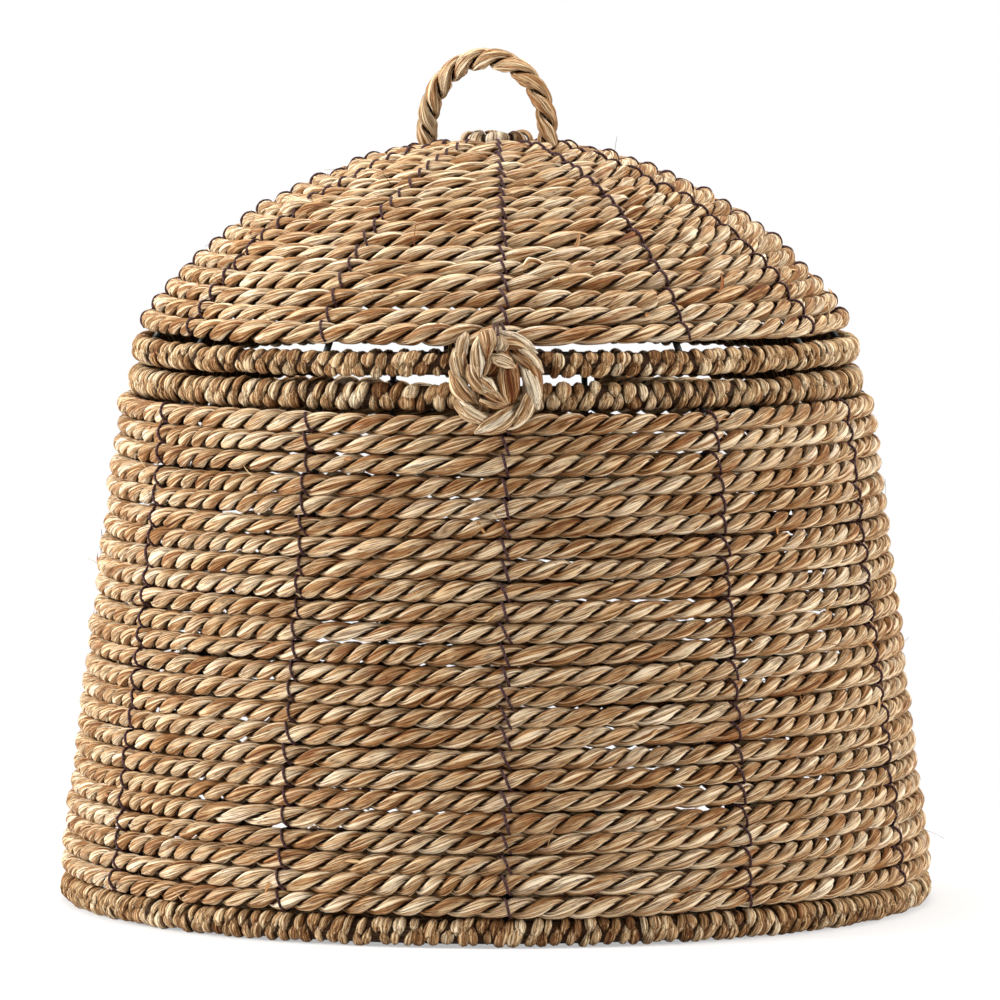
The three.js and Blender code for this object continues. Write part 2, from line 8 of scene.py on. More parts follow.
import logging
import math
from dataclasses import dataclass
from enum import Enum, IntEnum
from typing import Sequence

import bpy
import numpy as np
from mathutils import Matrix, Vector


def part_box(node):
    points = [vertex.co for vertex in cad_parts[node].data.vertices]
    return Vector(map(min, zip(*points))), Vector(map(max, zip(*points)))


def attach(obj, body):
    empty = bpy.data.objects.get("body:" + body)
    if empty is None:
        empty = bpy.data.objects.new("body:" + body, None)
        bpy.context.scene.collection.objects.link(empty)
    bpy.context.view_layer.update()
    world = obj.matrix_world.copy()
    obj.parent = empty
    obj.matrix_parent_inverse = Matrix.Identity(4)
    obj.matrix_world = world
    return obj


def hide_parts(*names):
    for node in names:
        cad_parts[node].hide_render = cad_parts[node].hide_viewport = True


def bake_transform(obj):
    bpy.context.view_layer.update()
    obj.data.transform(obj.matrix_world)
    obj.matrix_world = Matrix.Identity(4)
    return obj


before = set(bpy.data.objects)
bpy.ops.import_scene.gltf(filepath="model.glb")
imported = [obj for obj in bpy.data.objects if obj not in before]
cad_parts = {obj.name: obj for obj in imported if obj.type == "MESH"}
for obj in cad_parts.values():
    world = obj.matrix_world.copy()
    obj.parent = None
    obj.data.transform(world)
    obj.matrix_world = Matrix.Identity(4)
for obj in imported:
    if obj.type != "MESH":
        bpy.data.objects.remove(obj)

log = logging.getLogger("basket")

Array = np.ndarray
Rng = np.random.Generator
Material = bpy.types.Material
Span = tuple[float, float]
Triple = tuple[float, float, float]
Numbers = tuple[float, ...]
Socket = bpy.types.NodeSocket

FULL_TURN = 2 * math.pi
QUARTER_TURN = math.pi / 2
UP = np.array([0.0, 0.0, 1.0])
RIGHT = np.array([1.0, 0.0, 0.0])
MILLIMETRES_PER_METRE = 1000
TINY = 1e-12


class Body(Enum):
    """The bodies that pieces ride on."""

    BASKET = "basket"
    LID = "lid"
    LOOP = "loop"


class Slot(Enum):
    """The record's material slots."""

    ROPE = "rope"
    WRAP = "wrap"
    THREAD = "thread"
    WIRE = "wire"


class Seed(Enum):
    """The seeds of the pieces' unevenness."""

    WALL_ROPE = 11
    FLOOR_ROPE = 12
    BODY_WIRES = 13
    FOOT_RING = 21
    BODY_RIM = 22
    LID_ROPE = 31
    LID_RIM = 32
    CROWN_RING = 33
    CROWN_FILL = 34
    LID_WIRES = 35
    HANDLE_ROPE = 41
    HANDLE_KNOTS = 42
    LOOP_ROPE = 51
    CLOSURE_KNOT = 52
    LOOP_BINDING = 53
    LOOP_FOLDS = 54
    HINGE_TIES = 61
    WALL_FIBRES = 71
    LID_FIBRES = 72
    SPLICES = 81
    BODY_STITCHES = 100
    LID_STITCHES = 300

    def source(self, step: int = 0) -> Rng:
        """Give a piece's random source, a step on for each further one of a row."""
        return np.random.default_rng(self.value + step)


# Small maths


def unit(vectors: Array) -> Array:
    """Scale the vectors along the last axis to length one."""
    size = np.linalg.norm(vectors, axis=-1, keepdims=True)
    return vectors / np.maximum(size, TINY)


def around(radius: Array, azimuth: Array, height: Array) -> Array:
    """Give places by distance from the axis, angle from the front towards +X, and height."""
    radius, azimuth, height = np.broadcast_arrays(radius, azimuth, height)
    return np.stack([radius * np.sin(azimuth), -radius * np.cos(azimuth), height], axis=-1)


def travelled(places: Array) -> Array:
    """Give the length of a line up to each of its points, from zero."""
    steps = np.linalg.norm(np.diff(places, axis=0), axis=1)
    return np.concatenate([[0.0], np.cumsum(steps)])


def ease(share: Array) -> Array:
    """Smooth a share, limited to 0 to 1 first, so that it starts and stops gently."""
    kept = np.clip(share, 0.0, 1.0)
    return kept * kept * (3 - 2 * kept)


def wander(rng: Rng, places: Array, step: float, amount: float) -> Array:
    """Give smooth random values along a line.

    Args:
        rng: The seeded source of the values.
        places: Lengths along the line.
        step: Length between one free value and the next.
        amount: Typical size of a value.

    Returns:
        One value for each place.
    """
    scaled = (places - places.min()) / step
    low = np.floor(scaled).astype(int)
    knots = rng.normal(0.0, amount, low.max() + 2)
    share = ease(scaled - low)
    return knots[low] * (1 - share) + knots[low + 1] * share


def smooth_line(points: Array, steps: int) -> Array:
    """Run a smooth line through points.

    Args:
        points: The points that the line passes.
        steps: New points for each stretch.

    Returns:
        The smooth line's points.
    """
    padded = np.vstack([2 * points[0] - points[1], points, 2 * points[-1] - points[-2]])
    share = (np.arange(steps) / steps)[None, :, None]
    before, start, end, after = (padded[i : len(padded) - 3 + i, None] for i in range(4))
    line = 0.5 * (
        2 * start
        + (end - before) * share
        + (2 * before - 5 * start + 4 * end - after) * share**2
        + (3 * start - before - 3 * end + after) * share**3
    )
    return np.vstack([line.reshape(-1, 3), points[-1:]])


def heading(azimuth: Array) -> Array:
    """Give the level direction outward at an azimuth."""
    return around(1.0, azimuth, 0.0)


def even_run(places: Array, gap: float) -> tuple[Array, Array]:
    """Give the length up to each point of a line, and even lengths about a gap apart."""
    run = travelled(places)
    return run, np.linspace(0, run[-1], int(run[-1] / gap))


def between(wanted: Array, known: Array, places: Array) -> Array:
    """Interpolate known places at the wanted lengths or turns."""
    return np.stack([np.interp(wanted, known, places[:, axis]) for axis in range(3)], axis=1)


# Sizes that pieces share


@dataclass(frozen=True)
class BasketSizes:
    """The driving sizes of the basket, as its construction has them, the uprights' shifts in degrees."""

    rope_diameter: float = 0.0089
    course_gap: float = 0.0005
    wire_diameter: float = 0.0032
    seat_gap: float = 0.0003
    base_ring_outer_radius: float = 0.210
    base_ring_section: float = 0.015
    body_rim_outer_radius: float = 0.176
    body_rim_section: float = 0.0145
    body_rim_height: float = 0.250
    wall_foot_inset: float = 0.0007
    wall_shoulder: float = 0.0053
    floor_thickness: float = 0.009
    floor_lift: float = 0.002
    lid_rim_section: float = 0.0132
    lid_rim_inset: float = 0.0015
    rim_opening: float = 0.00215
    wall_rim_gap: float = 0.001
    lid_rim_gap: float = 0.0023
    dome_outset: float = 0.0015
    lid_rise: float = 0.1009
    lid_rim_wire_shift: float = 0.0014
    crown_wrap_radius: float = 0.0167
    crown_lift: float = 0.003
    crown_wrap_thickness: float = 0.009
    crown_wire_radius: float = 0.012
    dome_power: float = 1.32
    ring_sides: int = 8
    body_uprights: int = 11
    lid_ribs: int = 12
    steps_per_gap: int = 2
    upright_shifts: Numbers = (0, 0.3, 0, 0, 0, 0, 0, 0, 0, 4.4, 2.7)
    front_meridian: float = math.radians(1.3)
    climb_start_share: float = 0.59
    level_share: float = 0.86

    @property
    def rope_radius(self) -> float:
        """Radius of the coiled rope."""
        return self.rope_diameter / 2

    @property
    def wire_radius(self) -> float:
        """Radius of the frame's wire."""
        return self.wire_diameter / 2

    @property
    def pitch(self) -> float:
        """Least distance from one course to the next."""
        return self.rope_diameter + self.course_gap

    @property
    def flat_share(self) -> float:
        """Share of a wrapped ring's radius at which its flats lie."""
        return math.cos(math.pi / self.ring_sides)

    @property
    def base_ring_radius(self) -> float:
        """Radius of the foot ring's middle line."""
        return self.base_ring_outer_radius - self.base_ring_section / 2

    @property
    def base_ring_height(self) -> float:
        """Height of the foot ring's middle line."""
        return self.base_ring_section / 2 * self.flat_share

    @property
    def body_rim_radius(self) -> float:
        """Radius of the body rim's middle line."""
        return self.body_rim_outer_radius - self.body_rim_section / 2

    @property
    def lid_rim_radius(self) -> float:
        """Radius of the lid rim's middle line."""
        return self.body_rim_outer_radius - self.lid_rim_inset - self.lid_rim_section / 2

    @property
    def rim_mid_height(self) -> float:
        """Height of the parting between the two rims."""
        return self.body_rim_height + (self.body_rim_section * self.flat_share + self.rim_opening) / 2

    @property
    def lid_rim_height(self) -> float:
        """Height of the lid rim's middle line."""
        return self.rim_mid_height + (self.rim_opening + self.lid_rim_section * self.flat_share) / 2

    @property
    def wire_offset(self) -> float:
        """How far the uprights lie inside the rope's middle line."""
        return self.rope_radius + self.seat_gap + self.wire_radius

    def meridian(self, index: int, count: int) -> float:
        """Azimuth of one of a number of uprights, ribs or rows of stitches, an upright's own shift added."""
        shift = self.upright_shifts[index] if count == self.body_uprights else 0.0
        return self.front_meridian + index / count * FULL_TURN + math.radians(shift)

    def coil_start(self, count: int) -> float:
        """Azimuth at which the coil over a number of uprights or ribs starts."""
        steps = count * self.steps_per_gap
        return self.front_meridian + round(self.climb_start_share * steps) / steps * FULL_TURN


class WallLine:
    """The slope that the body's courses climb, from the foot ring to the rim."""

    def __init__(self, sizes: BasketSizes) -> None:
        """Work the line out from the shared sizes.

        Args:
            sizes: The basket's sizes.
        """
        radius = sizes.rope_radius
        self.low = np.array([
            sizes.base_ring_outer_radius - sizes.wall_foot_inset - radius,
            2 * sizes.base_ring_height + sizes.course_gap + radius,
        ])
        rim_underside = sizes.body_rim_height - sizes.body_rim_section / 2 * sizes.flat_share
        high = np.array([
            sizes.body_rim_outer_radius + sizes.wall_shoulder - radius,
            rim_underside - sizes.wall_rim_gap - radius,
        ])
        self.length = float(np.linalg.norm(high - self.low))
        self.slope = (high - self.low) / self.length

    def point(self, length: Array, offset: float = 0.0) -> tuple[Array, Array, Array, Array]:
        """Give a place on the line, moved outward square to it.

        Args:
            length: Length along the line.
            offset: Distance outward.

        Returns:
            Radius, height, and the outward direction's two shares.
        """
        run, climb = self.slope
        length = np.asarray(length, float)
        radius = self.low[0] + run * length + climb * offset
        height = self.low[1] + climb * length - run * offset
        return radius, height, np.full_like(length, climb), np.full_like(length, -run)

    def length_at(self, height: float, offset: float) -> float:
        """Give the length at which the moved line reaches a height."""
        run, climb = self.slope
        return (height - self.low[1] + run * offset) / climb


class LidLine:
    """The dome's outline, from the lowest lid course to the crown."""

    samples: int = 800

    def __init__(self, sizes: BasketSizes) -> None:
        """Work the outline out from the shared sizes.

        Args:
            sizes: The basket's sizes.
        """
        self.sizes = sizes
        radius = sizes.rope_radius
        self.dome_radius = sizes.body_rim_outer_radius - sizes.lid_rim_inset + sizes.dome_outset - radius
        self.dome_rise = sizes.lid_rise - radius
        first_rise = sizes.lid_rim_section / 2 + sizes.lid_rim_gap + radius
        shrink = math.sqrt(1 - (first_rise / self.dome_rise) ** sizes.dome_power)
        last_share = (sizes.crown_wrap_radius + sizes.course_gap + radius) / self.dome_radius
        bearings = np.linspace(math.asin(shrink), math.asin(last_share), self.samples)
        self.radius = self.dome_radius * np.sin(bearings)
        self.height = sizes.lid_rim_height + self.rise(self.radius)
        self.run = travelled(np.stack([self.radius, self.height], axis=1))
        self.length = float(self.run[-1])

    def rise(self, radius: Array) -> Array:
        """Give the dome's rise over the rim at a distance from the axis."""
        share = 1 - (radius / self.dome_radius) ** 2
        return self.dome_rise * share ** (1 / self.sizes.dome_power)

    def crown_height(self) -> float:
        """Give the height of the crown ring's middle line."""
        sizes = self.sizes
        return sizes.lid_rim_height + float(self.rise(np.array(sizes.crown_wrap_radius))) + sizes.crown_lift

    def point(self, length: Array, offset: float = 0.0) -> tuple[Array, Array, Array, Array]:
        """Give a place on the outline, moved outward square to it.

        Args:
            length: Length along the outline.
            offset: Distance outward.

        Returns:
            Radius, height, and the outward direction's two shares.
        """
        kept = np.clip(length, 0.0, self.length)
        radius = np.interp(kept, self.run, self.radius)
        height = np.interp(kept, self.run, self.height)
        climb = np.interp(kept, self.run, np.gradient(self.height, self.run))
        back = np.interp(kept, self.run, -np.gradient(self.radius, self.run))
        return radius + climb * offset, height + back * offset, climb, back


# Lines with a frame at each station


@dataclass
class Route:
    """A line that a strand follows, with two directions across it at each station."""

    centre: Array
    out: Array
    up: Array
    length: Array
    closed: bool = False

    @classmethod
    def through(cls, centre: Array, out_hint: Array, closed: bool = False) -> "Route":
        """Make a route through points.

        Args:
            centre: The points.
            out_hint: A direction roughly outward at each point, or one for all.
            closed: Whether the last point leads back to the first.

        Returns:
            The route.
        """
        if closed:
            ahead = np.roll(centre, -1, axis=0) - np.roll(centre, 1, axis=0)
        else:
            ahead = np.gradient(centre, axis=0)
        along = unit(ahead)
        hint = np.broadcast_to(out_hint, centre.shape)
        out = unit(hint - along * np.sum(hint * along, axis=1, keepdims=True))
        return cls(centre, out, np.cross(out, along), travelled(centre), closed)

    def skin(self, outward: Array, upward: Array) -> Array:
        """Give places by station and point, from distances along the two directions across the route."""
        shifted = outward[..., None] * self.out[:, None] + upward[..., None] * self.up[:, None]
        return self.centre[:, None] + shifted


@dataclass(frozen=True)
class BladeSection:
    """The section of one flat, creased strand, as shares of its half width and thickness."""

    across_shares: Numbers = (-1.0, -0.78, -0.44, -0.34, 0.04, 0.42, 0.52, 0.82, 1.0, 0.55, 0.0, -0.55)
    height_shares: Numbers = (0.0, 0.60, 0.90, 0.74, 1.0, 0.86, 0.68, 0.50, 0.0, -0.5, -0.6, -0.5)
    # Painted shade at each point: full on the underside, strong at the edges, some in the folds, none on the
    # crests.
    crease_shares: Numbers = (0.7, 0.15, 0.0, 0.35, 0.0, 0.0, 0.35, 0.15, 0.7, 1.0, 1.0, 1.0)
    crease_weight: float = 0.8

    @property
    def across(self) -> Array:
        """Places across the strand."""
        return np.array(self.across_shares)

    @property
    def height(self) -> Array:
        """Heights over the strand's middle."""
        return np.array(self.height_shares)

    @property
    def painted_shade(self) -> Array:
        """How strongly painted shade darkens each point, as deep down in a crease."""
        return np.array(self.crease_shares) * self.crease_weight


BLADE = BladeSection()


class Weave:
    """Collects strands and makes them one mesh with the values that the finishes read."""

    grain_range: float = 50
    grain_depth: float = 5
    cord_tones: Span = (0.35, 0.65)
    tone_change: float = 0.13

    def __init__(self, rng: Rng) -> None:
        """Start with no strands.

        Args:
            rng: The seeded source of the strands' shades.
        """
        self.rng = rng
        self.places: list[Array] = []
        self.grain: list[Array] = []
        self.tone: list[Array] = []
        self.painted_shade: list[Array] = []
        self.corners: list[Array] = []
        self.totals: list[Array] = []
        self.count = 0

    def add(self, places: Array, grain: Array, tone: Array, painted_shade: Array, closed: bool = False) -> None:
        """Add strands that have the same number of stations and section points.

        Args:
            places: Places by strand, station and section point.
            grain: Lengths along and across the fibre, shaped like the places.
            tone: Shade of the fibre from 0 to 1, by strand, station and point.
            painted_shade: How strongly painted shade darkens a point, deepest in a crease, from 0 to 1.
            closed: Whether each strand is a ring.
        """
        shape = places.shape[:3]
        strands, stations, points = shape
        spans = stations if closed else stations - 1
        strand = np.arange(strands)[:, None, None] * stations * points
        span = np.arange(spans)[None, :, None]
        side = np.arange(points)[None, None, :]
        beside = (side + 1) % points
        here = strand + span * points
        there = strand + (span + 1) % stations * points
        quads = np.stack([here + side, there + side, there + beside, here + beside], axis=-1)
        self._add_faces(quads.reshape(-1), quads.shape[-1])
        if not closed:
            first = strand[:, 0] + np.arange(points)
            last = first[:, ::-1] + (stations - 1) * points
            self._add_faces(np.concatenate([first.reshape(-1), last.reshape(-1)]), points)
        self.places.append(places.reshape(-1, 3))
        self.grain.append(np.broadcast_to(grain, places.shape).reshape(-1, 3))
        self.tone.append(np.broadcast_to(tone, shape).reshape(-1))
        self.painted_shade.append(np.broadcast_to(painted_shade, shape).reshape(-1))
        self.count += strands * stations * points

    def _add_faces(self, corners: Array, sides: int) -> None:
        """Add faces that have the same number of sides."""
        self.corners.append(corners + self.count)
        self.totals.append(np.full(len(corners) // sides, sides))

    def add_cord(self, route: Route, radius: float, sides: int, painted_shade: float = 0.0) -> None:
        """Add a plain round cord.

        Args:
            route: Its middle line.
            radius: Its radius.
            sides: Points round its section.
            painted_shade: How strongly painted shade darkens it, as deep down in a crease.
        """
        turn = np.arange(sides) / sides * FULL_TURN
        shape = (len(route.length), sides)
        outward = np.broadcast_to(np.cos(turn) * radius, shape)
        upward = np.broadcast_to(np.sin(turn) * radius, shape)
        run = np.broadcast_to(route.length[:, None], shape) + self.rng.uniform(0, self.grain_range)
        grain = np.stack([run, outward, upward], axis=-1)
        tone = self.rng.uniform(*self.cord_tones)
        self.add(route.skin(outward, upward)[None], grain[None], tone, painted_shade, closed=route.closed)

    def add_band(self, route: Route, width: Array, thickness: Array, shade: float) -> None:
        """Add one flat strand whose broad face looks outward.

        Args:
            route: Its middle line.
            width: Half its width, at each station.
            thickness: Half its thickness, at each station.
            shade: Its typical tone.
        """
        stations = len(route.length)
        upward = np.broadcast_to(width, stations)[:, None] * BLADE.across[None, :]
        outward = np.broadcast_to(thickness, stations)[:, None] * BLADE.height[None, :]
        run = np.broadcast_to((route.length + self.rng.uniform(0, self.grain_range))[:, None], upward.shape)
        grain = np.stack([run, upward, outward + self.rng.uniform(0, self.grain_depth)], axis=-1)
        tone = np.clip(shade + self.rng.normal(0, self.tone_change), 0, 1)
        self.add(route.skin(outward, upward)[None], grain[None], tone, BLADE.painted_shade, closed=route.closed)

    def build(self, name: str, material: Material) -> bpy.types.Object:
        """Make the object.

        Args:
            name: The piece's name.
            material: Its finish.

        Returns:
            The new object, linked to the scene.
        """
        mesh = bpy.data.meshes.new(name)
        corners = np.concatenate(self.corners).astype(np.int32)
        totals = np.concatenate(self.totals)
        starts = np.concatenate([[0], np.cumsum(totals)[:-1]]).astype(np.int32)
        mesh.vertices.add(self.count)
        mesh.vertices.foreach_set("co", np.concatenate(self.places).astype(np.float32).ravel())
        mesh.loops.add(len(corners))
        mesh.loops.foreach_set("vertex_index", corners)
        mesh.polygons.add(len(totals))
        mesh.polygons.foreach_set("loop_start", starts)
        mesh.update(calc_edges=True)
        mesh.shade_smooth()
        grain = mesh.attributes.new("grain", "FLOAT_VECTOR", "POINT")
        grain.data.foreach_set("vector", np.concatenate(self.grain).astype(np.float32).ravel())
        # The tone and the painted shade go to the finishes as point values.
        for label, values in (("tone", self.tone), ("painted_shade", self.painted_shade)):
            layer = mesh.attributes.new(label, "FLOAT", "POINT")
            layer.data.foreach_set("value", np.concatenate(values).astype(np.float32))
        mesh.materials.append(material)
        piece = bpy.data.objects.new(name, mesh)
        bpy.context.scene.collection.objects.link(piece)
        log.info("%s: %d triangles", name, np.sum(totals - 2))
        return piece


# Strands


@dataclass(frozen=True)
class Lay:
    """How plies are twisted into a rope."""

    diameter: float
    length: float
    plies: int = 2
    blades: int = 6
    gap: float = 0.0021
    heart_share: float = 0.447
    width_share: float = 0.735
    # Share of the rope's radius inside which painted shade begins.
    shade_reach: float = 0.70
    untwist: float = 0.95
    crease_share: float = 0.06
    lip_share: float = 0.03
    girth_change: float = 0.06
    slack: float = 0.7

    @property
    def radius(self) -> float:
        """Radius of the whole rope."""
        return self.diameter / 2


class BladePoint(IntEnum):
    """The section points of one blade of a ply, in order."""

    CREASE = 0
    CREST = 1
    LIP = 2


class TwistedRope:
    """A rope of twisted plies, each of a few flattened leaf blades."""

    point_shares: Numbers = (0.0, 0.45, 0.88)
    warp_step: float = 0.07
    girth_step: float = 0.05
    blade_step: float = 0.055
    tone_step: float = 0.03
    width_change: float = 0.3
    depth_change: float = 0.6
    depth_limit: float = 2.4
    inner_share: float = 0.97
    braid_share: float = 0.8
    tone_change: float = 0.06
    blade_tone_change: float = 0.075
    # How fast painted shade deepens towards the rope's middle, and the painted shade added in blade creases.
    shade_rate: float = 3.4
    crease_shade: float = 0.20

    def __init__(self, route: Route, lay: Lay, rng: Rng, turns: Array | None = None) -> None:
        """Twist a rope along a route.

        Args:
            route: The rope's middle line.
            lay: How it is twisted.
            rng: The seeded source of its unevenness.
            turns: For a coil, the turn of the coil at each station.
        """
        self.route = route
        self.lay = lay
        self.rng = rng
        self.turns = turns
        run = route.length
        # The unevenness fades where a ring of rope meets itself.
        self.window = np.ones_like(run)
        pace = FULL_TURN / lay.length
        if route.closed:
            whole = run[-1] + np.linalg.norm(route.centre[0] - route.centre[-1])
            pace = FULL_TURN * round(whole / lay.length) / whole
            self.window = np.sin(math.pi * run / whole) ** 2
        self.phase = run * pace + wander(rng, run, self.warp_step, lay.slack) * self.window
        self.girth = 1 + wander(rng, run, self.girth_step, lay.girth_change) * self.window

    def _blade_angles(self) -> tuple[Array, Array, Array]:
        """Share out a ply's section among its blades.

        Returns:
            The angle, blade and kind of each section point.
        """
        lay = self.lay
        widths = 1 + self.rng.uniform(-self.width_change, self.width_change, lay.blades)
        starts = np.concatenate([[0], np.cumsum(widths)]) / widths.sum() * FULL_TURN
        angles = starts[:-1, None] + np.diff(starts)[:, None] * np.array(self.point_shares)
        blade = np.repeat(np.arange(lay.blades), len(BladePoint))
        kind = np.tile(np.arange(len(BladePoint)), lay.blades)
        return angles.reshape(-1), blade, kind

    def _by_blade(self, amount: float) -> Array:
        """Give smooth random values, by station and blade."""
        drawn = [wander(self.rng, self.route.length, self.blade_step, amount) for _ in range(self.lay.blades)]
        return np.stack(drawn, axis=1)

    def ply(self, index: int) -> tuple[Array, Array, Array, Array]:
        """Shape one ply.

        Args:
            index: Which ply.

        Returns:
            Places, grain, tone and painted shade by station and section point.
        """
        lay = self.lay
        run = self.route.length
        phase = (self.phase + FULL_TURN * index / lay.plies)[:, None]
        base, blade, kind = self._blade_angles()
        turned = base[None, :] - lay.untwist * phase
        depth = self._by_blade(self.depth_change)
        depth = np.clip(1 + depth * self.window[:, None], 0, self.depth_limit)[:, blade]
        crease = kind == BladePoint.CREASE
        swell = np.where(crease, 1 - lay.crease_share * depth, 1.0)
        swell = np.where(kind == BladePoint.LIP, 1 + lay.lip_share * depth, swell)
        radius = lay.radius
        heart = radius * lay.heart_share
        cosine = np.cos(turned)
        reach = np.where(cosine > 0, radius - heart, heart * self.inner_share)
        girth = self.girth[:, None]
        inward = (heart + reach * cosine * swell) * girth
        sideways = radius * lay.width_share * np.sin(turned) * swell * girth
        if lay.plies > 2:
            sideways *= self.braid_share
        outward = inward * np.cos(phase) - sideways * np.sin(phase)
        upward = inward * np.sin(phase) + sideways * np.cos(phase)
        ply_radius = radius * (1 - lay.heart_share)
        start = self.rng.uniform(0, Weave.grain_range)
        grain = (
            (run + start)[:, None],
            np.cos(base) * ply_radius + index,
            np.sin(base) * ply_radius,
        )
        grain = np.stack([np.broadcast_to(values, turned.shape) for values in grain], axis=-1)
        tone = 0.5 + self.tone_change * wander(self.rng, run, self.tone_step, 1.0)[:, None]
        tone = tone + self.blade_tone_change * self._by_blade(1.0)[:, blade]
        # Painted shade: darker the nearer a point lies to the rope's middle, and darker again in blade
        # creases.
        away = np.hypot(outward, upward) / (radius * girth)
        painted_shade = np.clip((lay.shade_reach - away) * self.shade_rate, 0, 1)
        painted_shade = painted_shade + np.where(crease, self.crease_shade * depth, 0.0)
        return self.route.skin(outward, upward), grain, np.clip(tone, 0, 1), np.clip(painted_shade, 0, 1)

    def weave(self, parts: int) -> list[Weave]:
        """Make the rope's plies, cut across into parts.

        Args:
            parts: How many pieces the rope is split into along its length.

        Returns:
            One weave for each part, from the rope's start.
        """
        weaves = [Weave(self.rng) for _ in range(parts)]
        cuts = np.linspace(0, len(self.route.length) - 1, parts + 1).astype(int)
        for index in range(self.lay.plies):
            values = self.ply(index)
            for part, weave in enumerate(weaves):
                piece = slice(cuts[part], cuts[part + 1] + 1)
                weave.add(*(value[None, piece] for value in values), closed=self.route.closed)
        return weaves

    def add_to(self, weave: Weave) -> None:
        """Add the rope's plies to a weave."""
        for index in range(self.lay.plies):
            weave.add(*(value[None] for value in self.ply(index)), closed=self.route.closed)

    def reach(self, phase: Array, angle: Array) -> Array:
        """Give how far the rope reaches in a direction.

        Args:
            phase: The twist at the place.
            angle: The direction, from outward towards up.

        Returns:
            The distance from the middle line to the hull of the plies.
        """
        lay = self.lay
        heart = lay.radius * lay.heart_share
        reaches = []
        for index in range(lay.plies):
            turn = angle - phase - FULL_TURN * index / lay.plies
            thick = (lay.radius - heart) * np.cos(turn)
            wide = lay.radius * lay.width_share * np.sin(turn)
            reaches.append(heart * np.cos(turn) + np.hypot(thick, wide))
        return np.max(reaches, axis=0)

    def at_turns(self, turns: Array) -> dict[str, Array]:
        """Give the rope's middle, directions and twist at turns of its coil.

        Args:
            turns: Turns of the coil.

        Returns:
            The values by name.
        """
        route = self.route
        vectors = {"centre": route.centre, "out": route.out, "up": route.up}
        found = {name: between(turns, self.turns, values) for name, values in vectors.items()}
        found["phase"] = np.interp(turns, self.turns, self.phase)
        found["girth"] = np.interp(turns, self.turns, self.girth)
        return found


@dataclass
class Coil:
    """Course after course of rope, level round the front and climbing at the back.

    The courses that fit on the outline are followed by the extra turns. The
    even share is how much of the last turn climbs evenly.
    """

    sizes: BasketSizes
    line: WallLine | LidLine
    supports: int
    extra_turns: float = 0.0
    even_share: float = 0.0
    fine_steps: int = 360
    sway_step: float = 0.05
    drift_step: float = 0.07

    def __post_init__(self) -> None:
        """Fit the courses on the outline."""
        courses = math.floor(self.line.length / self.sizes.pitch)
        self.start = self.sizes.coil_start(self.supports)
        self.turns = courses + self.extra_turns
        self.pitch = self.line.length / courses

    def climbed(self, turns: Array) -> Array:
        """Give the courses climbed after some turns.

        Args:
            turns: Turns of the coil.

        Returns:
            The courses, whole ones round the front.
        """
        whole = np.floor(turns)
        part = turns - whole
        level = self.sizes.level_share
        stepped = ease((part - level) / (1 - level))
        return whole + stepped + (part - stepped) * self.even_share * turns / self.turns

    def frame_at(self, turns: Array) -> tuple[Array, Array]:
        """Give the middle line and the way out of it.

        Args:
            turns: Turns of the coil.

        Returns:
            Places and outward directions.
        """
        azimuth = self.start + turns * FULL_TURN
        radius, height, across, back = self.line.point(self.climbed(turns) * self.pitch)
        return around(radius, azimuth, height), around(across, azimuth, back)

    def rope(self, lay: Lay, rng: Rng, sway: float, drift: float) -> TwistedRope:
        """Lay a rope in the coil.

        Args:
            lay: How the rope is twisted.
            rng: The seeded source of its unevenness.
            sway: How far it wanders in and out.
            drift: How far it wanders up and down.

        Returns:
            The rope.
        """
        fine = np.linspace(0, self.turns, int(self.turns * self.fine_steps))
        run, even = even_run(self.frame_at(fine)[0], lay.gap)
        turns = np.interp(even, run, fine)
        centre, out = self.frame_at(turns)
        route = Route.through(centre, out)
        moved = centre + out * wander(rng, even, self.sway_step, sway)[:, None]
        moved = moved + route.up * wander(rng, even, self.drift_step, drift)[:, None]
        return TwistedRope(Route.through(moved, out), lay, rng, turns)


# Finishes


@dataclass(frozen=True)
class Noise:
    """Noise stretched along the fibre: its scales along and across it, its detail and roughness."""

    along: float
    across: float
    detail: float
    roughness: float = 0.55


@dataclass(frozen=True)
class Fade:
    """A smooth change from start to end, as what it is read at goes from low to high."""

    low: float
    high: float
    start: float
    end: float

    @property
    def inputs(self) -> dict[str, float]:
        """The range node's inputs."""
        return {"From Min": self.low, "From Max": self.high, "To Min": self.start, "To Max": self.end}


